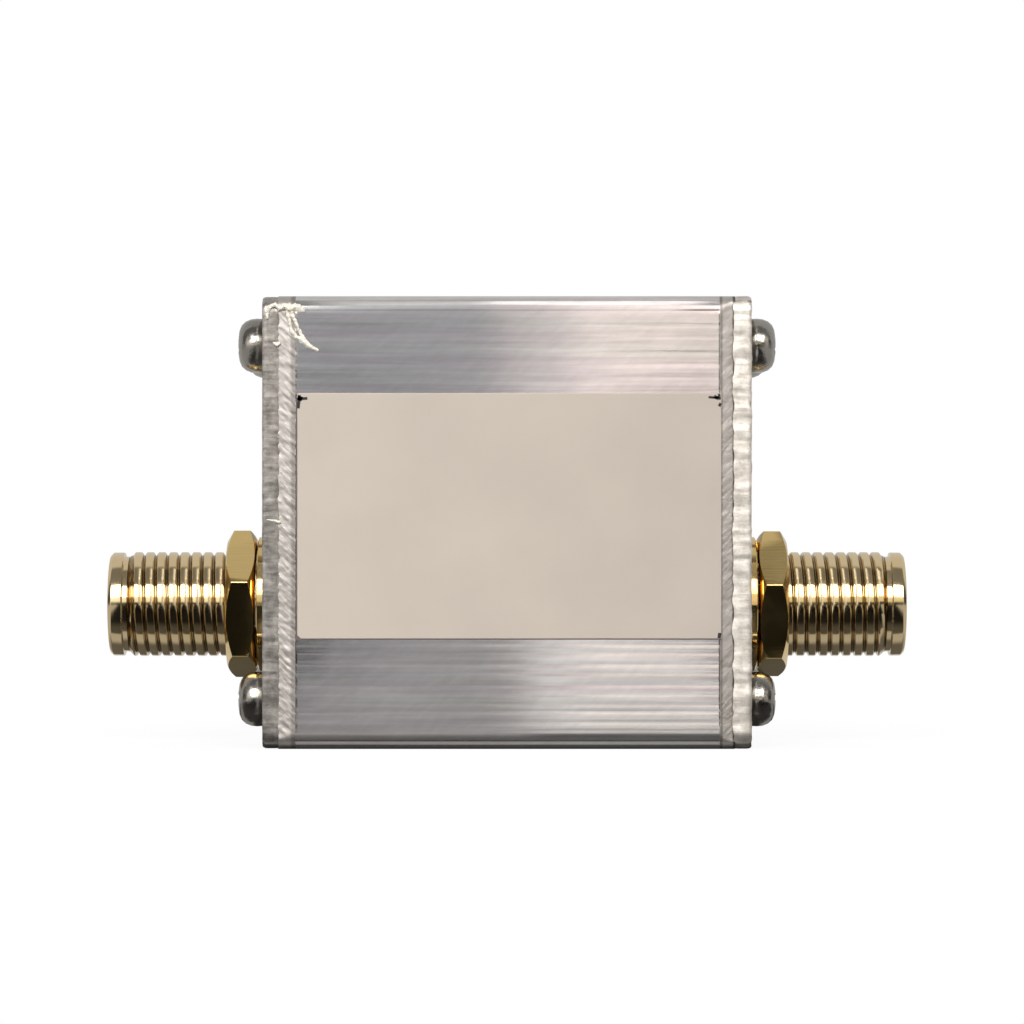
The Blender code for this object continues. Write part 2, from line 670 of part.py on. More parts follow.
# Solder that holds each jack pin to the line
for which, hand in (("left", -1), ("right", 1)):
    mesh = bpy.data.meshes.new("solder_joint")
    shape = bmesh.new()
    bmesh.ops.create_uvsphere(shape, u_segments=SOLDER_STEPS,
                              v_segments=SOLDER_STEPS // 2, radius=1.0)
    crown_height = 2 * PIN_RADIUS + FIT_GAP + SOLDER_WALL
    half_width = PIN_RADIUS + FIT_GAP + SOLDER_FOOT
    bmesh.ops.scale(shape, vec=(SOLDER_LENGTH / 2, half_width, crown_height),
                    verts=shape.verts)
    shape.to_mesh(mesh)
    shape.free()
    lump = new_object("solder_joint_" + which, mesh, parts)
    lump.parent = board_frame
    lump.location = (hand * (copper_end - SOLDER_LENGTH / 2), AXIS_HEIGHT, component_foot)
    mesh.materials.append(tin_solder)
    passage = flat_solid("pin_passage_" + which,
                         [circle((0, 0), PIN_RADIUS + FIT_GAP, SMALL_STEPS)],
                         SOLDER_LENGTH + 2 * OVERRUN, cutters)
    passage.parent = board_frame
    passage.location = (lump.location.x, AXIS_HEIGHT, pin_height)
    passage.rotation_euler = (0, pi / 2, 0)
    below = block("solder_foot_" + which,
                  (SOLDER_LENGTH + 2 * OVERRUN, 2 * half_width + 2 * OVERRUN,
                   crown_height + OVERRUN),
                  (0, 0, -(crown_height + OVERRUN) / 2), cutters)
    below.parent = board_frame
    below.location = lump.location
    combine(lump, passage, "DIFFERENCE")
    combine(lump, below, "DIFFERENCE")
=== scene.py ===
from math import cos, exp, hypot, pi, radians, sin, tan, tau

import bmesh
import bpy
from mathutils import Euler, Matrix, Vector, noise


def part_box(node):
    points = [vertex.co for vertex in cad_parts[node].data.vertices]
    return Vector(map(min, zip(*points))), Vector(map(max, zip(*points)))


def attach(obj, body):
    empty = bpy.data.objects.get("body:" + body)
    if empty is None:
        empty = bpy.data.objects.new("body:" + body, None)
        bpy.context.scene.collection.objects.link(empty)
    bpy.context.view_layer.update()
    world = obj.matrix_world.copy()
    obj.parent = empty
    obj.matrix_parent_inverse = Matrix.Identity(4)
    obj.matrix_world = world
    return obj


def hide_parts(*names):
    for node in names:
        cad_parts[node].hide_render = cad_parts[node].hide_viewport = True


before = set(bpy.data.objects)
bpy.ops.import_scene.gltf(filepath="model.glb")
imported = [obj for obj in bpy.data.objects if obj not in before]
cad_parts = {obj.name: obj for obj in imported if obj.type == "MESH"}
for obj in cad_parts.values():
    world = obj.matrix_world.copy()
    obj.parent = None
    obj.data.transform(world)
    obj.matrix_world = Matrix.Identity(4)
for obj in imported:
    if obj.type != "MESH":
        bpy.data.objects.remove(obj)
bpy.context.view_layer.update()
scene = bpy.context.scene


# Housing extrusion
# A length of aluminium alloy tube, pressed through a die and left in its mill finish. The die
# draws fine lines along it. A saw cuts it to length and a coarse file breaks the edges of the
# wide faces, which leaves bright bevels with slanting marks and a lumpy burr.
MM = 0.001
DIE_EDGE_RADIUS = 1.0 * MM
HALF_DEPTH = 8.0
TUBE_HEIGHT = 27.0
# How finely the faces are divided for their lines, and the filed ends for their marks
FACE_CUTS = 260
SIDE_CUTS = 120
FILE_STATION = 0.075
# The filed bevels at the left and right: length, depth, how rounded they are, height of the
# ridges, ridges in a millimetre, and how much the burr spreads over the plate
FILED = {-1: (0.98, 0.085, 1.8, 0.026, 3.0, 0.22), 1: (0.86, 0.24, 1.0, 0.010, 4.2, 0.05)}
# Where the die has scored the wide faces: height, half width and depth in millimetres
TOP_SCORE = 26.13
DIE_SCORES = (
    (1.10, 0.10, 0.008), (1.62, 0.08, 0.010), (2.26, 0.09, 0.014), (2.68, 0.06, 0.015),
    (3.30, 0.10, 0.009), (3.85, 0.09, 0.014), (4.55, 0.12, 0.011), (5.10, 0.10, 0.013),
    (5.75, 0.08, 0.008), (6.26, 0.10, 0.013), (22.1, 0.08, 0.005), (22.9, 0.07, 0.006),
    (23.6, 0.10, 0.005), (24.5, 0.08, 0.004), (25.2, 0.07, 0.005), (TOP_SCORE, 0.09, 0.028),
)


def linear_colour(srgb):
    """An sRGB hex colour as linear light, with full alpha."""
    channels = [int(srgb[i:i + 2], 16) / 255 for i in (0, 2, 4)]
    return (*[c / 12.92 if c <= 0.04045 else ((c + 0.055) / 1.055) ** 2.4
              for c in channels], 1.0)


def set_inputs(tree, node, inputs):
    """Sets a node's inputs, by name or in the order that the node shows them. Each takes a
    value, an sRGB hex colour, or the output or node that is linked to it."""
    if isinstance(inputs, dict):
        sockets = [node.inputs[name] for name in inputs]
        inputs = inputs.values()
    else:
        sockets = [socket for socket in node.inputs if socket.enabled]
    for socket, value in zip(sockets, inputs):
        if isinstance(value, bpy.types.Node):
            value = next(output for output in value.outputs if output.enabled)
        if isinstance(value, bpy.types.NodeSocket):
            tree.links.new(value, socket)
        else:
            socket.default_value = linear_colour(value) if isinstance(value, str) else value


def add_node(tree, kind, inputs=(), **settings):
    """Adds a shader node with its settings and inputs."""
    node = tree.nodes.new("ShaderNode" + kind)
    for name, value in settings.items():
        setattr(node, name, value)
    set_inputs(tree, node, inputs)
    return node


def new_material(name, **constants):
    """A material with its shader's constant inputs set, as the material, its tree, its shader
    and the place on the piece."""
    material = bpy.data.materials.new(name)
    material.use_nodes = True
    tree = material.node_tree
    shader = tree.nodes["Principled BSDF"]
    set_inputs(tree, shader, {socket.replace("_", " "): value
                              for socket, value in constants.items()})
    return material, tree, shader, add_node(tree, "TexCoord").outputs["Object"]


def make_piece(name, shape, materials, replaced=(), sharp=35.0):
    """Turns a bmesh into a finished piece that rides on the body and stands for CAD nodes."""
    mesh = bpy.data.meshes.new(name)
    shape.to_mesh(mesh)
    shape.free()
    for material in materials:
        mesh.materials.append(material)
    mesh.shade_smooth()
    mesh.set_sharp_from_angle(angle=radians(sharp))
    piece = bpy.data.objects.new(name, mesh)
    scene.collection.objects.link(piece)
    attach(piece, "root")
    if replaced:
        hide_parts(*replaced)
    return piece


def add_block(shape, size, middle, turn=None):
    """Adds a block, turned about its own middle, and gives its corners."""
    corners = bmesh.ops.create_cube(shape, size=1.0)["verts"]
    bmesh.ops.scale(shape, vec=size, verts=corners)
    if turn:
        bmesh.ops.rotate(shape, matrix=turn, verts=corners)
    bmesh.ops.translate(shape, vec=middle, verts=corners)
    return corners


def edges_along(shape, axis, least):
    """The edges that reach more than a given way along an axis."""
    return [edge for edge in shape.edges
            if abs((edge.verts[0].co - edge.verts[1].co)[axis]) > least]


def round_edges(shape, edges, radius, segments):
    """Rounds edges, or breaks them where there is one segment."""
    bmesh.ops.bevel(shape, geom=edges, offset=radius, segments=segments, profile=0.5,
                    affect="EDGES", material=-1)


def join_on(shape, extra):
    """Adds another bmesh to a shape and frees it."""
    mesh = bpy.data.meshes.new("joining")
    extra.to_mesh(mesh)
    extra.free()
    shape.from_mesh(mesh)
    bpy.data.meshes.remove(mesh)


# Mill-finish aluminium: a soft mirror that smears light across the die lines and keeps it
# sharp along them. It is streaked along its length, warmer and cooler by turns, and scuffed
# aslant with small bright nicks where it has been handled. The deepest score, just under
# the top edge, is darkened with painted shade, most of all near the right end.
extruded, tree, shader, place = new_material("mill_finish_aluminium", Metallic=1.0,
                                             Anisotropic=1.0)
along = add_node(tree, "Mapping", {"Vector": place, "Scale": (40, 1000, 1000)})
fine_lines = add_node(tree, "TexNoise", {"Vector": along, "Scale": 9.0, "Detail": 3.0})
broad_lines = add_node(tree, "TexNoise", {"Vector": along, "Scale": 2.0, "Detail": 2.0})
tints = add_node(tree, "TexNoise", {"Vector": along, "Scale": 0.9, "Detail": 1.0})
clouds = add_node(tree, "TexNoise", {
    "Vector": place, "Scale": 420.0, "Detail": 5.0, "Roughness": 0.6})
aslant = add_node(tree, "Mapping", {
    "Vector": place, "Rotation": (0, radians(-35), 0), "Scale": (3.5, 1, 1)},
    vector_type="TEXTURE")
scuffs = add_node(tree, "TexNoise", {
    "Vector": aslant, "Scale": 2400.0, "Detail": 4.0, "Roughness": 0.6})
fine_bump = add_node(tree, "Bump", {"Height": fine_lines, "Distance": 0.0012 * MM})
broad_bump = add_node(tree, "Bump", {"Height": broad_lines, "Distance": 0.006 * MM,
                                     "Normal": fine_bump})
streaked = add_node(tree, "MapRange", (broad_lines, 0.33, 0.67))
tinted = add_node(tree, "MapRange", (tints, 0.36, 0.64))
scuffed = add_node(tree, "MapRange", (scuffs, 0.30, 0.72))
streak_tone = add_node(tree, "Mix", (streaked, "D6D2D1", "ECE9E6"), data_type="RGBA")
tint_tone = add_node(tree, "Mix", (tinted, "FCFDFA", "FFFBFC"), data_type="RGBA")
scuff_tone = add_node(tree, "Mix", (scuffed, "F6F5F5", "FFFFFF"), data_type="RGBA")
toned = add_node(tree, "Mix", (1.0, streak_tone, tint_tone), data_type="RGBA",
                 blend_type="MULTIPLY")
handled = add_node(tree, "Mix", (1.0, toned, scuff_tone), data_type="RGBA",
                   blend_type="MULTIPLY")
parts = add_node(tree, "SeparateXYZ", (place,))
# Painted shade in the top score, stronger towards the right end
from_score = add_node(tree, "Math", (parts.outputs["Z"], TOP_SCORE * MM), operation="SUBTRACT")
beside_score = add_node(tree, "Math", (from_score,), operation="ABSOLUTE")
in_score = add_node(tree, "MapRange", (beside_score, 0.015 * MM, 0.075 * MM, 1.0, 0.0),
                    interpolation_type="SMOOTHSTEP")
near_end = add_node(tree, "MapRange", (parts.outputs["X"], 9.5 * MM, 11.5 * MM, 0.22, 0.85),
                    interpolation_type="SMOOTHSTEP")
painted_score_shade = add_node(tree, "Math", (in_score, near_end), operation="MULTIPLY")
score_shaded_tone = add_node(tree, "Mix", (painted_score_shade, handled, "4A3F38"), data_type="RGBA")
gloss = add_node(tree, "MapRange", (clouds, 0.3, 0.75, 0.085, 0.135))
around = add_node(tree, "Tangent", direction_type="RADIAL", axis="X")
set_inputs(tree, shader, {"Base Color": score_shaded_tone, "Roughness": gloss, "Normal": broad_bump,
                          "Tangent": around})

# Filed aluminium: freshly cut metal, so it is whiter, scattered by slanting scratches about
# a tenth of a millimetre apart, which mirror each other at the two ends. Painted shade darkens
# the joint with the right plate and the inner edge of the bevel there. At the left the inner
# edge is made darker and greyer.
filed, tree, shader, place = new_material("filed_aluminium", Metallic=1.0, Roughness=0.50)
parts = add_node(tree, "SeparateXYZ", (place,))
sideways = parts.outputs["X"]
outward = add_node(tree, "Math", (sideways,), operation="ABSOLUTE")
folded = add_node(tree, "CombineXYZ", (outward, parts.outputs["Y"], parts.outputs["Z"]))
slant = add_node(tree, "Mapping", {
    "Vector": folded, "Rotation": (0, radians(-45), 0), "Scale": (6, 1, 1)},
    vector_type="TEXTURE")
scratches = add_node(tree, "TexNoise", {"Vector": slant, "Scale": 6000.0, "Detail": 4.0})
smears = add_node(tree, "TexNoise", {"Vector": slant, "Scale": 2200.0, "Detail": 3.0})
scratch_bump = add_node(tree, "Bump", {"Height": scratches, "Distance": 0.020 * MM})
tone = add_node(tree, "Mix", (smears, "9F9791", "DED8D2"), data_type="RGBA")
uneven = add_node(tree, "Math", (smears, 0.22 * MM, -0.11 * MM), operation="MULTIPLY_ADD")
reach_out = add_node(tree, "Math", (sideways, uneven))
# Painted shade in the joint with the right plate and along the inner edge of the bevel there
joint_painted_shade = add_node(tree, "MapRange", (reach_out, 13.38 * MM, 13.50 * MM),
                      interpolation_type="SMOOTHSTEP")
from_edge = add_node(tree, "Math", (sideways, 12.73 * MM), operation="SUBTRACT")
beside_edge = add_node(tree, "Math", (from_edge,), operation="ABSOLUTE")
edge_painted_shade = add_node(tree, "MapRange", (beside_edge, 0.02 * MM, 0.15 * MM, 0.6, 0.0),
                     interpolation_type="SMOOTHSTEP")
# The left bevel's inner edge is made darker and greyer
inner_edge_grey_ramp = add_node(tree, "MapRange", (reach_out, -12.94 * MM, -12.72 * MM, 0.0, 0.50),
                   interpolation_type="SMOOTHSTEP")
left_only = add_node(tree, "Math", (sideways, 0.0), operation="LESS_THAN")
inner_grey = add_node(tree, "Math", (inner_edge_grey_ramp, left_only), operation="MULTIPLY")
right_painted_shade = add_node(tree, "Math", (joint_painted_shade, edge_painted_shade), operation="MAXIMUM")
bevel_shade_and_grey = add_node(tree, "Math", (right_painted_shade, inner_grey), operation="MAXIMUM")
bevel_shaded_tone = add_node(tree, "Mix", (bevel_shade_and_grey, tone, "6A625D"), data_type="RGBA")
set_inputs(tree, shader, {"Base Color": bevel_shaded_tone, "Normal": scratch_bump})

# The real tube touches the plates, so it is drawn up to them
low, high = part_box("housing_tube")
low.x, high.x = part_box("end_plate_left")[1].x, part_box("end_plate_right")[0].x
tube_end = high.x
skin = bmesh.new()
add_block(skin, high - low, (low + high) / 2)
saw_faces = [face for face in skin.faces if abs(face.normal.x) > 0.5]
bmesh.ops.delete(skin, geom=saw_faces, context="FACES_ONLY")
round_edges(skin, edges_along(skin, 0, 1.5 * tube_end), DIE_EDGE_RADIUS, 12)
for axis, cuts in ((2, FACE_CUTS), (1, SIDE_CUTS)):
    bmesh.ops.subdivide_edges(skin, edges=edges_along(skin, axis, 10 * MM), cuts=cuts,
                              use_grid_fill=True)
stations = [1 * MM * step for step in range(-12, 13, 3)]
for step in range(1, 17):
    stations += [tube_end - FILE_STATION * MM * step, FILE_STATION * MM * step - tube_end]
for station in stations:
    bmesh.ops.bisect_plane(skin, geom=skin.verts[:] + skin.edges[:] + skin.faces[:],
                           plane_co=(station, 0, 0), plane_no=(1, 0, 0), dist=1e-9)
for vert in skin.verts:
    x, y, z = vert.co / MM
    side = 1 if y > 0 else -1
    depth = 0.0
    # Die lines: scores and slow waves on the wide faces, waves alone on the narrow ones
    if abs(y) > HALF_DEPTH - 0.1:
        fade = max(0.4, min(1, 0.7 + x / 10))
        depth += sum(deep * fade * exp(-((z - height) / wide) ** 2)
                     for height, wide, deep in DIE_SCORES)
        depth += 0.004 * noise.noise(Vector((x * 0.02, side, z * 1.7)))
        y -= side * depth
    elif z > TUBE_HEIGHT - 0.01 or z < 0.01:
        depth += 0.004 * noise.noise(Vector((x * 0.02, y * 1.7, 5)))
        z += depth if z < 1 else -depth
    # The filed bevel: a wavy start, slanting ridges, and the burr over the plate's edge
    end = tube_end / MM - abs(x)
    hand = 1 if x > 0 else -1
    length, deep, rounded, ridge, pitch, burr = FILED[hand]
    start = length + 0.06 * noise.noise(Vector((hand * 5, side * 3, z * 1.2)))
    start += 1.2 * ridge * noise.noise(Vector((hand * 2, side * 4, z * pitch)))
    if end < start:
        share = (start - end) / length
        slanted = Vector(((z - hand * x) * pitch, (z + hand * x) * 1.1, hand + 3 * side))
        lump = noise.noise(slanted) + 0.5 * noise.noise(slanted * 2.1)
        cut = 0.007 + deep * share ** rounded - ridge * lump * min(1, 0.4 + share * 4)
        cut += 0.010 * noise.noise(Vector((x * 7, z * 7, side)))
        y = side * min(abs(y), HALF_DEPTH - cut)
        if end < 0.16 and abs(y) > 7.2:
            spread = 0.5 + noise.noise(Vector((hand * 7, side, z * 1.9)))
            spread += 0.6 * noise.noise(Vector((hand * 9, side, z * 6.1)))
            x += hand * burr * max(0, spread) * (1 - end / 0.16)
    vert.co = Vector((x, y, z)) * MM

# Inside, the tube keeps the solid's own bore, with its screw ports and board grooves
bore = bmesh.new()
bore.from_mesh(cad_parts["housing_tube"].data)
bmesh.ops.remove_doubles(bore, verts=bore.verts, dist=0.001 * MM)
outer_faces = []
for face in bore.faces:
    middle = face.calc_center_median() / MM
    inside = abs(middle.y) < 6.4 and 1.1 < middle.z < 25.9 and abs(face.normal.x) < 0.5
    if not inside:
        outer_faces.append(face)
bmesh.ops.delete(bore, geom=outer_faces, context="FACES")
join_on(skin, bore)
for hand in (-1, 1):
    rims = [edge for edge in skin.edges if edge.is_boundary
            and all(vert.co.x * hand > tube_end - 0.15 * MM for vert in edge.verts)]
    bmesh.ops.triangle_fill(skin, edges=rims, use_beauty=True, normal=(hand, 0, 0))
for face in skin.faces:
    middle = face.calc_center_median() / MM
    reach = FILED[1 if middle.x > 0 else -1][0] + 0.02
    bevelled = tube_end / MM - abs(middle.x) < reach and abs(middle.y) > 7.2
    face.material_index = 1 if bevelled or abs(face.normal.x) > 0.7 else 0
make_piece("housing_extrusion", skin, [extruded, filed],
           ["housing_tube"], sharp=50)


# End plates
# Squares of aluminium sheet, sheared and then dressed on the file after they were screwed
# on. Their rolled faces are dull, and their cut edges show the saw's strokes.
PLATE_STROKES = 8
PLATE_RIM = 0.25 * MM
EDGE_CUTS = 200
JACK_HOLE = 3.275 * MM
SCREW_HOLE = 1.15 * MM
SCREWS_ASIDE = 5.1 * MM
SCREW_HEIGHTS = (2.9 * MM, 24.1 * MM)

# Rolled sheet: the wide faces are dull, with faint upright lines from the rolls and smudges
rolled, tree, shader, place = new_material("rolled_aluminium", Metallic=1.0, Roughness=0.40)
upright = add_node(tree, "Mapping", {"Vector": place, "Scale": (1000, 1000, 45)})
roll_lines = add_node(tree, "TexNoise", {"Vector": upright, "Scale": 5.0, "Detail": 4.0})
smudges = add_node(tree, "TexNoise", {
    "Vector": place, "Scale": 260.0, "Detail": 5.0, "Roughness": 0.55})
both = add_node(tree, "Math", (roll_lines, smudges))
spread = add_node(tree, "MapRange", (both, 0.72, 1.28))
tone = add_node(tree, "Mix", (spread, "AAA59F", "CAC6C0"), data_type="RGBA")
line_bump = add_node(tree, "Bump", {"Height": roll_lines, "Distance": 0.004 * MM})
set_inputs(tree, shader, {"Base Color": tone, "Normal": line_bump})

# Sawn sheet: the cut edge is torn into fine strokes across the thickness.
# The left plate's edge has darker, greyer tones. The right one was filed harder, so it is left
# lumpy, and its tones are lighter. Each line is: tones, roughness, bump, lumps, swells,
# strokes, how far the edge is set back, and how far its burr hangs over the extrusion.
PLATES = {
    "left": ("8A847F", "C6C0BA", 0.34, 0.008, 0.012, 0.014, 0.008, 0.050, 0.04),
    "right": ("C6BEB4", "F2EBE2", 0.48, 0.010, 0.045, 0.050, 0.015, 0.025, 0.14),
}
sawn = {}
for end, (dark, light, rough, bumps, *_) in PLATES.items():
    sawn[end], tree, shader, place = new_material("sawn_aluminium_" + end, Metallic=1.0,
                                                  Roughness=rough)
    across = add_node(tree, "Mapping", {"Vector": place, "Scale": (150, 1000, 1000)})
    strokes = add_node(tree, "TexNoise", {"Vector": across, "Scale": 4.0, "Detail": 4.0})
    stains = add_node(tree, "TexNoise", {
        "Vector": place, "Scale": 1500.0, "Detail": 5.0, "Roughness": 0.65})
    both = add_node(tree, "Math", (stains, 1.7, strokes), operation="MULTIPLY_ADD")
    spread = add_node(tree, "MapRange", (both, 1.07, 1.63))
    tone = add_node(tree, "Mix", (spread, dark, light), data_type="RGBA")
    stroke_bump = add_node(tree, "Bump", {"Height": strokes, "Distance": bumps * MM})
    set_inputs(tree, shader, {"Base Color": tone, "Normal": stroke_bump})

# Each end's own frame: Z runs out along the jack from the plate's outer face
ends = {}
for end, turn in (("left", -pi / 2), ("right", pi / 2)):
    low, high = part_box("end_plate_" + end)
    outer_face = low.x if end == "left" else high.x
    jack_low, jack_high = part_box("jack_shell_" + end)
    axis_height = (jack_low.z + jack_high.z) / 2
    ends[end] = (Matrix.Translation((outer_face, 0, axis_height))
                 @ Euler((pi / 2, 0, turn)).to_matrix().to_4x4())
    lump, wave, stroke, setback, lip = PLATES[end][4:]
    seed = 11.0 if end == "left" else 29.0

    plate = bmesh.new()
    add_block(plate, high - low, (low + high) / 2)
    round_edges(plate, edges_along(plate, 0, 0.5 * MM), DIE_EDGE_RADIUS, 12)
    bmesh.ops.subdivide_edges(plate, edges=edges_along(plate, 0, 0.5 * MM),
                              cuts=PLATE_STROKES - 1)
    wide = [face for face in plate.faces if abs(face.normal.x) > 0.9]
    bmesh.ops.inset_individual(plate, faces=wide, thickness=PLATE_RIM, use_even_offset=True)
    bmesh.ops.delete(plate, geom=wide, context="FACES_ONLY")
    for axis, cuts in ((2, EDGE_CUTS), (1, EDGE_CUTS // 2)):
        bmesh.ops.subdivide_edges(plate, edges=edges_along(plate, axis, 10 * MM), cuts=cuts)
    outlines = [edge for edge in plate.edges if edge.is_boundary]
    flat_verts = {vert for edge in outlines for vert in edge.verts}
    middle_x = (low.x + high.x) / 2
    for vert in plate.verts:
        if vert in flat_verts:
            continue
        x, y, z = vert.co / MM
        # From the middle of the nearest rounded corner, or straight out between them
        outward = Vector((0, y - max(-7, min(7, y)), z - max(1, min(26, z)))).normalized()
        shift = lump * noise.noise(Vector((seed, y * 0.9, z * 1.1)))
        shift += stroke * noise.noise(Vector((x * 0.5 + seed, y * 3.5, z * 3.5)))
        shift += 0.4 * stroke * noise.noise(Vector((x * 2 + seed, y * 9, z * 9)))
        bulge = wave * noise.noise(Vector((seed + 3, y * 1.3, z * 1.3)))
        bulge += 0.5 * wave * noise.noise(Vector((seed + 7, y * 4.1, z * 4.1)))
        share = (x - middle_x / MM) * 2
        rounding = (0.09 if share * x > 0 else 0.05) * share ** 6
        hand = 1 if x > 0 else -1
        inner = max(0, -hand * share) ** 2
        drawn = 0.6 + noise.noise(Vector((seed + 5, y * 0.9, z * 0.9)))
        drawn += 0.4 * noise.noise(Vector((seed + 6, y * 2.1, z * 2.1)))
        bulge = bulge * share - hand * inner * lip * drawn
        vert.co += (outward * (shift - setback - rounding) + Vector((bulge, 0, 0))) * MM
    holes = [(0, axis_height, JACK_HOLE)]
    holes += [(y, z, SCREW_HOLE) for y in (-SCREWS_ASIDE, SCREWS_ASIDE) for z in SCREW_HEIGHTS]
    rings = {}
    for side in (low.x, high.x):
        rim = [edge for edge in outlines if abs(edge.verts[0].co.x - side) < 0.1 * MM]
        rings[side] = []
        for y, z, radius in holes:
            place = Matrix.Translation((side, y, z)) @ Matrix.Rotation(pi / 2, 4, "Y")
            ring = bmesh.ops.create_circle(plate, segments=64, radius=radius, matrix=place)
            rings[side].append(list({edge for vert in ring["verts"]
                                     for edge in vert.link_edges}))
            rim += rings[side][-1]
        bmesh.ops.triangle_fill(plate, edges=rim, use_beauty=True, normal=(1, 0, 0))
    for inner_ring, outer_ring in zip(*rings.values()):
        bmesh.ops.bridge_loops(plate, edges=inner_ring + outer_ring)
    bmesh.ops.recalc_face_normals(plate, faces=plate.faces)
    for face in plate.faces:
        middle = face.calc_center_median()
        inside_rim = abs(middle.y) < high.y - PLATE_RIM and (
            low.z + PLATE_RIM < middle.z < high.z - PLATE_RIM)
        face.material_index = 1 if inside_rim else 0
    piece = make_piece("sheet_plate_" + end, plate, [sawn[end], rolled],
                       ["end_plate_" + end], sharp=50)
    for face in piece.data.polygons:
        face.use_smooth = face.material_index == 0


# Burrs
# Curls and lumps of aluminium that the saw and the file tore up, still hanging on the
# left end of the front. The longest lies on the wide face like a bent Y.
# Each curl: (x, height, radius) along it, in millimetres
CURLS = (
    ((-13.06, 26.04, 0.16), (-12.96, 25.55, 0.13), (-12.86, 25.05, 0.12),
     (-12.68, 24.70, 0.14), (-12.48, 24.50, 0.16)),
    ((-12.82, 26.00, 0.16), (-12.62, 25.55, 0.13), (-12.42, 25.05, 0.14),
     (-12.24, 24.72, 0.13), (-12.04, 24.38, 0.16)),
    ((-12.58, 24.52, 0.15), (-12.28, 24.44, 0.18), (-12.02, 24.26, 0.22),
     (-11.84, 24.04, 0.19), (-11.60, 23.92, 0.19), (-11.24, 23.72, 0.10)),
    ((-14.24, 26.02, 0.12), (-14.08, 26.32, 0.17), (-13.80, 26.42, 0.18),
     (-13.52, 26.24, 0.16), (-13.26, 26.32, 0.24), (-12.96, 26.24, 0.28),
     (-12.68, 26.30, 0.22), (-12.40, 26.26, 0.27), (-12.10, 26.06, 0.14)),
    ((-14.26, 25.66, 0.12), (-14.22, 25.94, 0.13)),
    ((-13.84, 24.18, 0.10), (-13.66, 24.06, 0.18), (-13.52, 24.20, 0.10)),
    ((-14.26, 13.66, 0.04), (-13.98, 13.64, 0.08), (-13.70, 13.58, 0.12),
     (-13.50, 13.50, 0.15)),
)
GRAIN_SPACING = 0.040


def mottled_material(name, scale, detail, dark, light, **constants):
    """A material that wanders between two tones, as the material, its tree, its shader, the
    place on the piece and the spots."""
    material, tree, shader, place = new_material(name, **constants)
    spots = add_node(tree, "TexNoise", {"Vector": place, "Scale": scale, "Detail": detail})
    tone = add_node(tree, "Mix", (spots, dark, light), data_type="RGBA")
    set_inputs(tree, shader, {"Base Color": tone})
    return material, tree, shader, place, spots


# Torn aluminium: the whitest metal on the part. Its surface is too broken up to mirror
# anything, so it scatters light as a white powder does, with a faint touch of yellow.
torn, tree, shader, _, tearing = mottled_material(
    "torn_aluminium", 7000.0, 3.0, "FFF5DE", "FFFDF8", Metallic=0.25, Roughness=0.6)
tearing_bump = add_node(tree, "Bump", {"Height": tearing, "Distance": 0.03 * MM})
set_inputs(tree, shader, {"Normal": tearing_bump})

burrs = bmesh.new()
grains = []
for curl in CURLS:
    for (x0, z0, r0), (x1, z1, r1) in zip(curl, curl[1:]):
        beads = max(2, int(hypot(x1 - x0, z1 - z0) / GRAIN_SPACING))
        for bead in range(beads):
            t = bead / beads
            grains.append((x0 + (x1 - x0) * t, z0 + (z1 - z0) * t, r0 + (r1 - r0) * t))
for x, z, radius in grains:
    grain = bmesh.ops.create_icosphere(burrs, subdivisions=2, radius=radius * MM)["verts"]
    for vert in grain:
        place = vert.co / MM + Vector((x, 0, z))
        vert.co *= 0.85 + 0.5 * noise.noise(place * 6) + 0.25 * noise.noise(place * 17)
    bmesh.ops.translate(burrs, vec=Vector((x, 0.3 * radius - HALF_DEPTH, z)) * MM,
                        verts=grain)
make_piece("torn_burrs", burrs, [torn], sharp=60)


# Plate screws
# Nickel-plated steel screws with a low domed head and a cross recess, driven into the ports
# of the extrusion. Each stopped at its own angle.
HEAD_TOP = 1.56
HEAD_PROFILE = ((0, HEAD_TOP), (0.55, 1.55), (0.95, 1.49), (1.25, 1.36), (1.47, 1.12),
                (1.60, 0.80), (1.64, 0.45), (1.62, 0.12), (1.56, 0.02), (0.95, 0.02),
                (0.95, -5.4), (0.5, -5.9), (0, -5.9))
RECESS_LENGTH = 1.9
RECESS_WIDTH = 0.40
RECESS_DEPTH = 0.85


def turned(profile, steps=96):
    """A shape turned about Z from (radius, height) points in millimetres."""
    shape = bmesh.new()
    points = [shape.verts.new((radius * MM, 0, height * MM)) for radius, height in profile]
    lines = [shape.edges.new(pair) for pair in zip(points, points[1:])]
    bmesh.ops.spin(shape, geom=points + lines, cent=(0, 0, 0), axis=(0, 0, 1), angle=tau,
                   steps=steps, use_merge=True)
    bmesh.ops.remove_doubles(shape, verts=shape.verts, dist=0.0005 * MM)
    bmesh.ops.recalc_face_normals(shape, faces=shape.faces)
    return shape


def carved(shape, tool, operation):
    """Cuts, joins or intersects a closed bmesh with another and gives the result."""
    pair = []
    for part in (shape, tool):
        mesh = bpy.data.meshes.new("carving")
        part.to_mesh(mesh)
        part.free()
        pair.append(bpy.data.objects.new("carving", mesh))
        scene.collection.objects.link(pair[-1])
    step = pair[0].modifiers.new("carving", "BOOLEAN")
    step.operation = operation
    step.object = pair[1]
    result = bmesh.new()
    result.from_object(pair[0], bpy.context.evaluated_depsgraph_get())
    for obj in pair:
        mesh = obj.data
        bpy.data.objects.remove(obj)
        bpy.data.meshes.remove(mesh)
    return result


# Bright nickel: a neutral mirror with small dents and rubbed, duller patches
nickel, tree, shader, place, rubbed = mottled_material(
    "nickel_plated_steel", 700.0, 4.0, "6E6963", "BBB6AD", Metallic=1.0)
dents = add_node(tree, "TexNoise", {"Vector": place, "Scale": 1400.0, "Detail": 3.0})
dent_bump = add_node(tree, "Bump", {"Height": dents, "Distance": 0.06 * MM})
gloss = add_node(tree, "MapRange", (rubbed, 0.35, 0.7, 0.12, 0.30))
set_inputs(tree, shader, {"Roughness": gloss, "Normal": dent_bump})

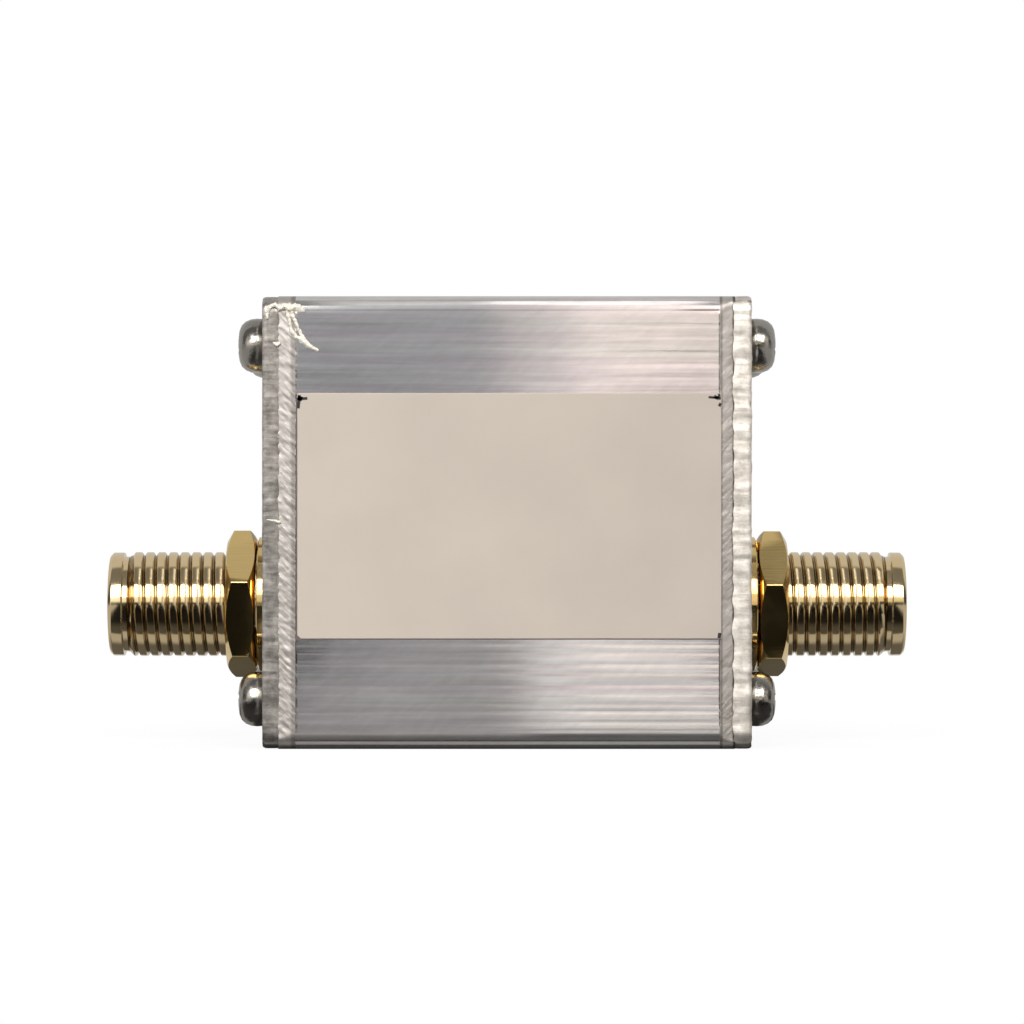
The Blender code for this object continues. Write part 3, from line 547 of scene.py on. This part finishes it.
recess_turn = 20.0
for end, matrix in ends.items():
    for corner in ("front_lower", "front_upper", "back_lower", "back_upper"):
        name = "screw_" + end + "_" + corner
        low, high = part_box(name)
        screw = turned(HEAD_PROFILE, 48)
        for x, y in ((RECESS_LENGTH, RECESS_WIDTH), (RECESS_WIDTH, RECESS_LENGTH)):
            slot = bmesh.new()
            add_block(slot, Vector((x, y, 2 * RECESS_DEPTH)) * MM, (0, 0, HEAD_TOP * MM))
            screw = carved(screw, slot, "DIFFERENCE")
        seat = Matrix.Translation((matrix.translation.x, (low.y + high.y) / 2,
                                   (low.z + high.z) / 2))
        driven = (seat @ matrix.to_3x3().to_4x4()
                  @ Matrix.Rotation(radians(recess_turn), 4, "Z"))
        bmesh.ops.transform(screw, matrix=driven, verts=screw.verts)
        make_piece("domed_" + name, screw, [nickel], [name])
        recess_turn += 37.0


# Coaxial jacks
# Turned from brass and gold-plated. The barrel carries a cut right-hand thread, 36 to the
# inch, which stops at a narrow relief behind a plain collar. A hexagonal flange seats
# inside the plate.
PITCH = 0.70556
CREST_RADIUS = 3.175
ROOT_RADIUS = 2.975
CORE_RADIUS = 2.50
THREAD_START = -1.05
THREAD_END = 8.45
THREAD_STEPS = 120
THREAD_END_RADIUS = 2.92
# One pitch of the thread, as (height, radius): a broad rounded crest between 60 degree flanks
THREAD_FORM = ((-0.335, ROOT_RADIUS), (-0.228, CREST_RADIUS - 0.034),
               (-0.200, CREST_RADIUS - 0.010), (-0.120, CREST_RADIUS),
               (0.120, CREST_RADIUS), (0.200, CREST_RADIUS - 0.010),
               (0.228, CREST_RADIUS - 0.034), (0.335, ROOT_RADIUS))
CORE_PROFILE = (
    (2.35, 9.65), (2.90, 9.65), (2.96, 9.64), (3.13, 9.47), (3.15, 9.42), (3.15, 8.84),
    (3.12, 8.80), (2.93, 8.80), (2.90, 8.76), (2.90, 8.48), (2.70, 8.44), (2.70, -2.70),
    (1.70, -2.70), (1.70, -1.90), (2.15, -1.90), (2.15, 7.70), (2.30, 7.70), (2.30, 9.58),
    (2.35, 9.65),
)
FLANGE_RADIUS = 4.62
FLANGE_BACK = -2.7
FLANGE_FRONT = -1.1
FLANGE_BORE = 2.6


def bar(sides, radius, bottom, top):
    """A closed bar along Z, measured to its corners in millimetres."""
    shape = bmesh.new()
    bmesh.ops.create_cone(shape, cap_ends=True, segments=sides, radius1=radius * MM,
                          radius2=radius * MM, depth=(top - bottom) * MM)
    bmesh.ops.translate(shape, vec=(0, 0, (top + bottom) / 2 * MM), verts=shape.verts)
    return shape


# Gold over turned brass: a pale, slightly greenish mirror. The tool leaves faint rings, and
# the grooves of the thread are darkened with painted shade.
barrel_gold, tree, shader, place = new_material("gold_plated_turned_brass", Metallic=1.0)
rings = add_node(tree, "Mapping", {"Vector": place, "Scale": (12000, 300, 300)})
tool_marks = add_node(tree, "TexNoise", {"Vector": rings, "Scale": 1.0, "Detail": 2.0})
handled = add_node(tree, "TexNoise", {"Vector": place, "Scale": 600.0, "Detail": 4.0})
tool_bump = add_node(tree, "Bump", {"Height": tool_marks, "Distance": 0.0012 * MM})
tone = add_node(tree, "Mix", (handled, "E0C694", "F0DAB2"), data_type="RGBA")
parts = add_node(tree, "SeparateXYZ", (place,))
above_axis = add_node(tree, "Math", (parts.outputs["Z"], axis_height), operation="SUBTRACT")
from_axis = add_node(tree, "CombineXYZ", {"Y": parts.outputs["Y"], "Z": above_axis})
radius_here = add_node(tree, "VectorMath", (from_axis,), operation="LENGTH")
# Painted shade in the thread's grooves, darkest at the root
deep_in = add_node(tree, "MapRange", (radius_here, 3.02 * MM, 3.15 * MM, 0.62, 0.0),
                   interpolation_type="SMOOTHSTEP")
outside = add_node(tree, "Math", (radius_here, 2.8 * MM), operation="GREATER_THAN")
outward = add_node(tree, "Math", (parts.outputs["X"],), operation="ABSOLUTE")
thread_reach = ends["right"].translation.x + (THREAD_END + 0.05) * MM
threaded = add_node(tree, "Math", (outward, thread_reach), operation="LESS_THAN")
on_thread = add_node(tree, "Math", (outside, threaded), operation="MULTIPLY")
painted_groove_shade = add_node(tree, "Math", (deep_in, on_thread), operation="MULTIPLY")
groove_shaded_tone = add_node(tree, "Mix", (painted_groove_shade, tone, "62503A"), data_type="RGBA")
gloss = add_node(tree, "MapRange", (handled, 0.3, 0.75, 0.09, 0.17))
set_inputs(tree, shader, {"Base Color": groove_shaded_tone, "Roughness": gloss, "Normal": tool_bump})

for end, matrix in ends.items():
    jack = bmesh.new()
    turns = range(int((THREAD_END - THREAD_START) / PITCH) + 3)
    form = [(THREAD_START + (number - 1.5) * PITCH + height, radius)
            for number in turns for height, radius in THREAD_FORM]
    outer = [jack.verts.new((radius * MM, 0, z * MM)) for z, radius in form]
    inner = [jack.verts.new((CORE_RADIUS * MM, 0, z * MM)) for z, _ in form]
    lines = [jack.edges.new(pair) for pair in zip(outer, outer[1:])]
    lines += [jack.edges.new(pair) for pair in zip(inner, inner[1:])]
    bmesh.ops.spin(jack, geom=outer + inner + lines, cent=(0, 0, 0), axis=(0, 0, 1),
                   dvec=(0, 0, PITCH * MM / THREAD_STEPS), angle=tau, steps=THREAD_STEPS)
    bmesh.ops.remove_doubles(jack, verts=jack.verts, dist=0.002 * MM)
    for height, outward in ((THREAD_START, -1), (THREAD_END, 1)):
        bmesh.ops.bisect_plane(jack, geom=jack.verts[:] + jack.edges[:] + jack.faces[:],
                               plane_co=(0, 0, height * MM), plane_no=(0, 0, outward),
                               dist=1e-9, clear_outer=True)
    for height, outward in ((THREAD_START, -1), (THREAD_END, 1)):
        rims = [edge for edge in jack.edges if edge.is_boundary
                and all(abs(vert.co.z - height * MM) < 1e-7 for vert in edge.verts)]
        bmesh.ops.triangle_fill(jack, edges=rims, use_beauty=True, normal=(0, 0, outward))
    # The thread ends in a 45 degree chamfer at the relief
    for vert in jack.verts:
        radius = hypot(vert.co.x, vert.co.y)
        limit = (THREAD_END_RADIUS + THREAD_END) * MM - vert.co.z
        if radius > limit:
            vert.co.x *= limit / radius
            vert.co.y *= limit / radius
    bmesh.ops.recalc_face_normals(jack, faces=jack.faces)

    join_on(jack, turned(CORE_PROFILE, 120))
    flange = bar(6, FLANGE_RADIUS, FLANGE_BACK, FLANGE_FRONT)
    join_on(jack, carved(flange, bar(64, FLANGE_BORE, FLANGE_BACK - 0.3, 0), "DIFFERENCE"))
    bmesh.ops.transform(jack, matrix=matrix, verts=jack.verts)
    make_piece("threaded_jack_" + end, jack, [barrel_gold],
               ["jack_shell_" + end], sharp=28)


# Jack insulators and contacts
# A white fluoropolymer sleeve is pressed into each barrel. It carries a beryllium copper
# contact, gold-plated, whose mouth is slit into four springy fingers.
INSULATOR_PROFILE = ((0.735, 7.70), (2.00, 7.70), (2.05, 7.65), (2.05, -1.80), (1.60, -1.80),
                     (1.60, -3.10), (0.55, -3.10), (0.55, -2.80), (0.735, -2.80),
                     (0.735, 7.70))
PIN_PROFILE = ((0, 5.00), (0.635, 5.00), (0.635, -2.70), (0.45, -2.70), (0.45, -6.22),
               (0.38, -6.30), (0, -6.30))
FINGER_SECTION = ((0.50, 7.60), (0.58, 7.60), (0.635, 7.52), (0.635, 5.00), (0.47, 5.00),
                  (0.47, 7.54))
FINGER_SPAN = radians(68)

fluoropolymer, tree, shader, _, turning = mottled_material(
    "white_fluoropolymer", 3000.0, 2.0, "E6E4DC", "F6F5F0", Roughness=0.42,
    Subsurface_Weight=0.25, Subsurface_Scale=0.0006)
turning_bump = add_node(tree, "Bump", {"Height": turning, "Strength": 0.5,
                                       "Distance": 0.01 * MM})
set_inputs(tree, shader, {"Normal": turning_bump})

# Gold over beryllium copper: a little redder and duller than the barrel
contact_gold, tree, shader, _, worn = mottled_material(
    "gold_plated_copper", 2500.0, 3.0, "D3A65C", "E9C583", Metallic=1.0)
gloss = add_node(tree, "MapRange", (worn, 0.3, 0.75, 0.15, 0.28))
set_inputs(tree, shader, {"Roughness": gloss})

for end, matrix in ends.items():
    sleeve = turned(INSULATOR_PROFILE, 72)
    bmesh.ops.transform(sleeve, matrix=matrix, verts=sleeve.verts)
    make_piece("insulator_sleeve_" + end, sleeve, [fluoropolymer],
               ["jack_insulator_" + end])

    contact = turned(PIN_PROFILE, 48)
    for quarter in range(4):
        start = quarter * pi / 2 + pi / 4 - FINGER_SPAN / 2
        ring = [contact.verts.new((radius * cos(start) * MM, radius * sin(start) * MM,
                                   height * MM)) for radius, height in FINGER_SECTION]
        bmesh.ops.spin(contact, geom=[contact.faces.new(ring)], cent=(0, 0, 0),
                       axis=(0, 0, 1), angle=FINGER_SPAN, steps=12)
    bmesh.ops.recalc_face_normals(contact, faces=contact.faces)
    bmesh.ops.transform(contact, matrix=matrix, verts=contact.verts)
    make_piece("slit_contact_" + end, contact, [contact_gold],
               ["jack_contact_" + end])


# Lock washers
# Stamped spring bronze with twisted inner teeth, gold-plated like the nut that it holds.
WASHER_RING = ((3.72, 0.05), (3.77, 0.0), (4.05, 0.0), (4.10, 0.05), (4.10, 0.45),
               (4.05, 0.50), (3.77, 0.50), (3.72, 0.45), (3.72, 0.05))
WASHER_LIFT = 0.09
TEETH = 10
TOOTH_SIZE = Vector((0.55, 0.95, 0.40))
TOOTH_PLACE = Vector((3.55, 0, 0.25))
TOOTH_TWIST = radians(14)

# Gold over rolled bronze and over hexagonal brass bar: warmer than on the barrels, with the
# faint lines that the bar was drawn with
gold, tree, shader, place, handled = mottled_material(
    "gold_plated_brass", 600.0, 4.0, "DABA78", "ECCF90", Metallic=1.0)
bar_lines = add_node(tree, "Mapping", {"Vector": place, "Scale": (500, 3000, 9000)})
drawn_lines = add_node(tree, "TexNoise", {"Vector": bar_lines, "Scale": 1.0, "Detail": 3.0})
line_bump = add_node(tree, "Bump", {"Height": drawn_lines, "Distance": 0.0025 * MM})
gloss = add_node(tree, "MapRange", (handled, 0.3, 0.75, 0.07, 0.14))
set_inputs(tree, shader, {"Roughness": gloss, "Normal": line_bump})

for end, matrix in ends.items():
    washer = turned(WASHER_RING, 96)
    for number in range(TEETH):
        tooth = add_block(washer, TOOTH_SIZE * MM, TOOTH_PLACE * MM,
                          Matrix.Rotation(TOOTH_TWIST, 3, "X"))
        bmesh.ops.rotate(washer, matrix=Matrix.Rotation(number * tau / TEETH, 3, "Z"),
                         verts=tooth)
    lifted = matrix @ Matrix.Translation((0, 0, WASHER_LIFT * MM))
    bmesh.ops.transform(washer, matrix=lifted, verts=washer.verts)
    make_piece("toothed_washer_" + end, washer, [gold],
               ["lock_washer_" + end])


# Jack nuts
# Hexagonal bar, 8 mm across the flats, turned to a chamfer on both faces and gold-plated.
NUT_BOTTOM = 0.68
NUT_TOP = 2.48
NUT_FLATS = 8.0
NUT_CORNERS = NUT_FLATS / 2 / cos(pi / 6)
NUT_CORNER_ROUND = 0.07
NUT_FACE = NUT_FLATS / 2 - 0.12
NUT_BORE = 3.20
NUT_MOUTH = 3.45
NUT_TURNS = {"left": 17.8, "right": 180 - 15.6}

for end, matrix in ends.items():
    nut = bar(6, NUT_CORNERS, NUT_BOTTOM - 1.1, NUT_TOP + 1.1)
    round_edges(nut, edges_along(nut, 2, 1 * MM), NUT_CORNER_ROUND * MM, 3)
    bmesh.ops.rotate(nut, matrix=Matrix.Rotation(-pi / 6, 3, "Z"), verts=nut.verts)
    waist = (NUT_TOP - NUT_BOTTOM) / 2
    crown = turned(((0, NUT_TOP), (NUT_FACE, NUT_TOP),
                    (NUT_FACE + waist / tan(pi / 6), NUT_BOTTOM + waist),
                    (NUT_FACE, NUT_BOTTOM), (0, NUT_BOTTOM)), 128)
    nut = carved(nut, crown, "INTERSECT")
    mouth_depth = NUT_MOUTH - NUT_BORE
    bore = turned(((0, NUT_TOP + 1), (NUT_MOUTH, NUT_TOP + 1), (NUT_MOUTH, NUT_TOP),
                   (NUT_BORE, NUT_TOP - mouth_depth), (NUT_BORE, NUT_BOTTOM + mouth_depth),
                   (NUT_MOUTH, NUT_BOTTOM), (NUT_MOUTH, NUT_BOTTOM - 1),
                   (0, NUT_BOTTOM - 1)), 96)
    nut = carved(nut, bore, "DIFFERENCE")
    tightened = matrix @ Matrix.Rotation(radians(NUT_TURNS[end]), 4, "Z")
    bmesh.ops.transform(nut, matrix=tightened, verts=nut.verts)
    make_piece("chamfered_nut_" + end, nut, [gold],
               ["hex_nut_" + end], sharp=20)


# Label
# Matt coated paper with an adhesive back, cut out by hand along printed corner marks. Its
# face is bare, and lighter towards its left end.
LABEL_SKIN = 0.09 * MM
LABEL_FACE = -8.10 * MM
LABEL_LEFT = -12.46 * MM
LABEL_RIGHT = 12.74 * MM
SNIPPED_CORNER = 0.2 * MM
CUT_EDGE_ROUND = 0.035 * MM

label_paper, tree, shader, place = new_material("coated_label_paper", Roughness=0.6,
                                                Specular_IOR_Level=0.35)
fibre = add_node(tree, "TexNoise", {"Vector": place, "Scale": 9000.0, "Detail": 3.0})
mottle = add_node(tree, "TexNoise", {"Vector": place, "Scale": 160.0, "Detail": 4.0})
fibre_bump = add_node(tree, "Bump", {"Height": fibre, "Distance": 0.004 * MM})
parts = add_node(tree, "SeparateXYZ", (place,))
# Lighter towards the left end of the label
lighter_to_left = add_node(tree, "MapRange", (parts.outputs["X"], -14 * MM, 14 * MM, 0.45, -0.15))
label_lightness = add_node(tree, "Math", (mottle, lighter_to_left), use_clamp=True)
tone = add_node(tree, "Mix", (label_lightness, "C8BCB1", "DACEC1"), data_type="RGBA")
set_inputs(tree, shader, {"Base Color": tone, "Normal": fibre_bump})

low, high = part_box("front_label")
low.x, high.x = LABEL_LEFT, LABEL_RIGHT
middle = (low + high) / 2
label = bmesh.new()
add_block(label, (high.x - low.x, LABEL_SKIN, high.z - low.z),
          (middle.x, LABEL_FACE + LABEL_SKIN / 2, middle.z))
corner = [edge for edge in label.edges if edge.calc_length() < 1 * MM
          and edge.verts[0].co.x < 0 and edge.verts[0].co.z < 10 * MM]
round_edges(label, corner, SNIPPED_CORNER, 1)
front_edges = [edge for edge in label.edges
               if all(vert.co.y < LABEL_FACE + 0.01 * MM for vert in edge.verts)]
round_edges(label, front_edges, CUT_EDGE_ROUND, 2)
make_piece("paper_label", label, [label_paper], ["front_label"], sharp=12)

# A dark sheet behind the label shows at its left and lower edges as a painted shadow line
shadow_line_paint = mottled_material("painted_edge_shadow", 3000.0, 3.0, "4E4140", "8A7772",
                            Roughness=0.5)[0]
shadow_line_sheet = bmesh.new()
add_block(shadow_line_sheet, (high.x - low.x + 0.07 * MM, 0.03 * MM, high.z - low.z),
          (middle.x - 0.045 * MM, LABEL_FACE + 0.075 * MM, middle.z - 0.055 * MM))
make_piece("label_painted_shadow", shadow_line_sheet, [shadow_line_paint])

# What is left of the printed marks that the label was cut along: x, height, width, height of
# the dash and its slant in degrees
MARKS = (
    (-12.12, 20.86, 0.54, 0.17, -3), (-12.36, 20.68, 0.18, 0.80, 5),
    (-12.30, 20.88, 0.30, 0.28, 20), (12.28, 20.93, 0.62, 0.14, 4),
    (12.44, 20.93, 0.30, 0.22, 20), (12.62, 20.98, 0.14, 0.36, -8),
    (12.65, 20.50, 0.17, 0.22, 30), (12.62, 6.79, 0.20, 0.32, 8),
)
INK_THICKNESS = 0.004
ink = mottled_material("black_printing_ink", 8000.0, 2.0, "161214", "332C2D",
                       Roughness=0.55)[0]
marks = bmesh.new()
for x, z, width, height, slant in MARKS:
    add_block(marks, Vector((width, INK_THICKNESS, height)) * MM,
              (x * MM, LABEL_FACE - 0.001 * MM, z * MM),
              Matrix.Rotation(radians(slant), 3, "Y"))
make_piece("trim_marks", marks, [ink])


# Circuit board and its components
# Solder-masked glass laminate with wound coils, chip capacitors and solder. All of it is
# closed in by the housing.
laminate = mottled_material("glass_laminate", 2500.0, 2.0, "27503A", "356648",
                            Roughness=0.35)[0]
wire = mottled_material("enamelled_copper_wire", 3000.0, 2.0, "8F4A20", "B0642F",
                        Metallic=1.0, Roughness=0.28)[0]
ceramic = mottled_material("chip_ceramic", 6000.0, 2.0, "8E7658", "AA9272",
                           Roughness=0.5)[0]
solder, tree, shader, place = new_material("tin_solder", Metallic=1.0, Base_Color="C4C3BF")
frost = add_node(tree, "TexNoise", {"Vector": place, "Scale": 2000.0})
gloss = add_node(tree, "MapRange", (frost, 0.0, 1.0, 0.2, 0.45))
set_inputs(tree, shader, {"Roughness": gloss})

inside = {"filter_board": laminate, "series_coil": wire, "shunt_coil": wire,
          "series_capacitor": ceramic, "shunt_capacitor": ceramic, "solder_joint": solder}
for name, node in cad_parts.items():
    for start, material in inside.items():
        if name.startswith(start):
            node.data.materials.clear()
            node.data.materials.append(material)


# Studio
# The part stands on a white table in front of the camera. Large soft boxes stand high and
# low at both sides of the lens, over the part and beside it. The room on the camera's side
# is dim, so the gold shows dark bands, and it is bright behind the part.
CAMERA_DISTANCE = 280 * MM
CAMERA_HEIGHT = 14.13 * MM
CAMERA_SIDE = 0.3 * MM
LENS = 160.95

# White paper. To the camera it is white with a soft shadow. The metal sees painted shade and
# light on it that stand for the part's own shade: darkest below and close in front, with a
# painted light band along the jacks, and open at the sides and behind.
table_paper = bpy.data.materials.new("white_table_paper")
table_paper.use_nodes = True
tree = table_paper.node_tree
tree.nodes.clear()
rays = add_node(tree, "LightPath")
place = add_node(tree, "TexCoord").outputs["Object"]
parts = add_node(tree, "SeparateXYZ", (place,))
sideways, away = parts.outputs["X"], parts.outputs["Y"]
aside = add_node(tree, "Math", (sideways,), operation="ABSOLUTE")
# The sides open past the jacks, a little later in front, where the barrels see them
past_jacks = add_node(tree, "Math", (away, 0.16, aside), operation="MULTIPLY_ADD")
distance = add_node(tree, "VectorMath", (place,), operation="LENGTH")
# How the painted shade changes over the table: what is measured, the start and stop of the
# change in millimetres, the share of light at each, and the way between them
SHADE_CHANGES = {
    "jacks_front": (away, -5.3, -4.9, 0.0, 0.40, "SMOOTHSTEP"),
    "jacks_back": (away, -2.6, -0.4, 1.0, 0.12, "SMOOTHSTEP"),
    "foot": (away, -8.16, -8.02, 0.0, 0.27, "SMOOTHSTEP"),
    "under_box": (away, -7.76, -7.64, 1.0, 0.03, "SMOOTHSTEP"),
    "right_side": (sideways, -0.4, 3.4, 0.0, 1.0, "SMOOTHSTEP"),
    "before_left": (away, -13, -8.6, 0.36, 0.07, "LINEAR"),
    "before_right": (away, -30, -9.5, 0.86, 0.06, "LINEAR"),
    "beyond": (aside, 15.3, 15.8, 0.0, 1.0, "SMOOTHSTEP"),
    "open_behind": (away, 8.4, 14, 0.0, 0.65, "SMOOTHSTEP"),
    "open_aside": (past_jacks, 27, 36, 0.0, 0.52, "SMOOTHSTEP"),
    "behind_front": (away, -13, -7, 0.008, 0.10, "SMOOTHSTEP"),
    "near": (distance, 26, 46, 1.0, 0.0, "SMOOTHSTEP"),
}
light = {name: add_node(tree, "MapRange", (measure, start * MM, stop * MM, first, last),
                        interpolation_type=way)
         for name, (measure, start, stop, first, last, way) in SHADE_CHANGES.items()}
jacks_band = add_node(tree, "Math", (light["jacks_front"], light["jacks_back"]),
                      operation="MULTIPLY")
darkest = 0.006
under_jacks = add_node(tree, "Math", (jacks_band, darkest))
foot_line = add_node(tree, "Math", (light["foot"], light["under_box"]),
                     operation="MULTIPLY")
before_face = add_node(tree, "Mix", (light["right_side"], light["before_left"],
                                     light["before_right"]))
in_front = add_node(tree, "Math", (away, -8.4 * MM), operation="LESS_THAN")
face_part = add_node(tree, "Math", (before_face, in_front), operation="MULTIPLY")
box_part = add_node(tree, "Math", (face_part, foot_line), operation="MAXIMUM")
front_shade = add_node(tree, "Mix", (light["beyond"], box_part, under_jacks))
open_table = add_node(tree, "Math", (light["open_behind"], light["open_aside"]),
                      operation="MAXIMUM")
shade = add_node(tree, "Math", (front_shade, open_table), operation="MAXIMUM")
mirrored = add_node(tree, "Math", (rays.outputs["Is Glossy Ray"], shade),
                    operation="MULTIPLY")
catching = add_node(tree, "Math", (light["behind_front"], light["near"]),
                    operation="MULTIPLY")
# The paper that catches the lamps near the part glows less, so it stays as white
white = add_node(tree, "Math", (catching, -0.8, 1.0), operation="MULTIPLY_ADD")
seen = add_node(tree, "Math", (rays.outputs["Is Camera Ray"],
                               rays.outputs["Is Transmission Ray"]), operation="MAXIMUM")
seen_white = add_node(tree, "Math", (seen, white, mirrored), operation="MULTIPLY_ADD")
lit = add_node(tree, "BsdfDiffuse", {"Color": catching})
glow = add_node(tree, "Emission", {"Strength": seen_white})
both = add_node(tree, "AddShader", (lit, glow))
add_node(tree, "OutputMaterial", {"Surface": both})

table = bmesh.new()
bmesh.ops.create_grid(table, x_segments=1, y_segments=1, size=1.0)
mesh = bpy.data.meshes.new("table")
table.to_mesh(mesh)
table.free()
mesh.materials.append(table_paper)
table = bpy.data.objects.new("table", mesh)
scene.collection.objects.link(table)

# The room: dim in front of the part, a little lighter overhead, and bright behind it
world = bpy.data.worlds.new("studio_room")
scene.world = world
world.use_nodes = True
tree = world.node_tree
tree.nodes.clear()
rays = add_node(tree, "LightPath")
direction = add_node(tree, "TexCoord").outputs["Generated"]
parts = add_node(tree, "SeparateXYZ", (direction,))
behind = add_node(tree, "MapRange", (parts.outputs["Y"], -0.04, 0.11),
                  interpolation_type="SMOOTHSTEP")
above = add_node(tree, "MapRange", (parts.outputs["Z"], 0.0, 0.6, 0.02, 0.21),
                 interpolation_type="SMOOTHSTEP")
room = add_node(tree, "Mix", (behind, above, 0.65))
seen = add_node(tree, "Math", (rays.outputs["Is Camera Ray"],
                               rays.outputs["Is Transmission Ray"]), operation="MAXIMUM")
shown = add_node(tree, "Math", (seen, room), operation="MAXIMUM")
sky = add_node(tree, "Background", {"Color": "FFFFFF", "Strength": shown})
add_node(tree, "OutputWorld", {"Surface": sky})

# Soft boxes hang in four upright or level planes round the part. Each line gives the plane,
# the box's edges across and up it as degrees seen from the part, how bright it looks beside
# white paper, and its colour. The three face cards stand behind the camera: they are what
# the wide face mirrors, from its dim left to its bright right.
BOX_DISTANCE = 0.7
BOX_TURNS = {"front": (pi / 2, 0, 0), "above": (0, 0, 0), "left": (pi / 2, 0, -pi / 2),
             "right": (pi / 2, 0, pi / 2)}
SOFT_BOXES = {
    "high_left": ("front", (-34, -4.7), (18, 44), 5.7, "FFFFFF"),
    "high_right": ("front", (4.7, 34), (19, 44), 5.0, "FFFFFF"),
    "low_left": ("front", (-34, -4.7), (4.8, 18), 0.95, "FFFEF5"),
    "low_right": ("front", (4.7, 34), (5.5, 19), 0.66, "FFFADC"),
    "face_left": ("front", (-4.7, -0.2), (-12, 62), 0.345, "F4F8FF"),
    "face_middle": ("front", (-0.2, 1.1), (-12, 62), 0.54, "FBF6F6"),
    "face_right": ("front", (1.1, 4.7), (-12, 62), 0.92, "FFF4EF"),
    "over_left": ("above", (-3.5, -0.4), (-32, -3), 0.39, "FFFFFF"),
    "over_right": ("above", (-0.4, 3.5), (-32, -3), 0.97, "FFFFFF"),
    "side_left": ("left", (30, 56), (-8, 36), 0.9, "FFFAF5"),
    "side_right": ("right", (-54, -28), (-8, 36), 0.55, "FFF8F0"),
}
aim = Vector((0, 0, TUBE_HEIGHT / 2 * MM))

for name, (plane, across, up, brightness, colour) in SOFT_BOXES.items():
    left, right, bottom, top = [BOX_DISTANCE * tan(radians(angle)) for angle in across + up]
    width, height = right - left, top - bottom
    lamp = bpy.data.lights.new(name, "AREA")
    lamp.shape = "RECTANGLE"
    lamp.size = width
    lamp.size_y = height
    lamp.energy = 4 * width * height * brightness
    lamp.color = linear_colour(colour)[:3]
    box = bpy.data.objects.new(name, lamp)
    scene.collection.objects.link(box)
    turn = Euler(BOX_TURNS[plane])
    middle = Vector(((left + right) / 2, (bottom + top) / 2, BOX_DISTANCE))
    box.location = aim + turn.to_matrix() @ middle
    box.rotation_euler = turn
    box.visible_camera = False

camera_data = bpy.data.cameras.new("camera")
camera_data.lens = LENS
camera_data.sensor_width = 36
camera_data.clip_start = 0.01
camera_data.clip_end = 10
camera = bpy.data.objects.new("camera", camera_data)
scene.collection.objects.link(camera)
camera.location = (CAMERA_SIDE, -CAMERA_DISTANCE, CAMERA_HEIGHT)
camera.rotation_euler = (pi / 2, 0, 0)
scene.camera = camera
scene.view_settings.view_transform = "Standard"
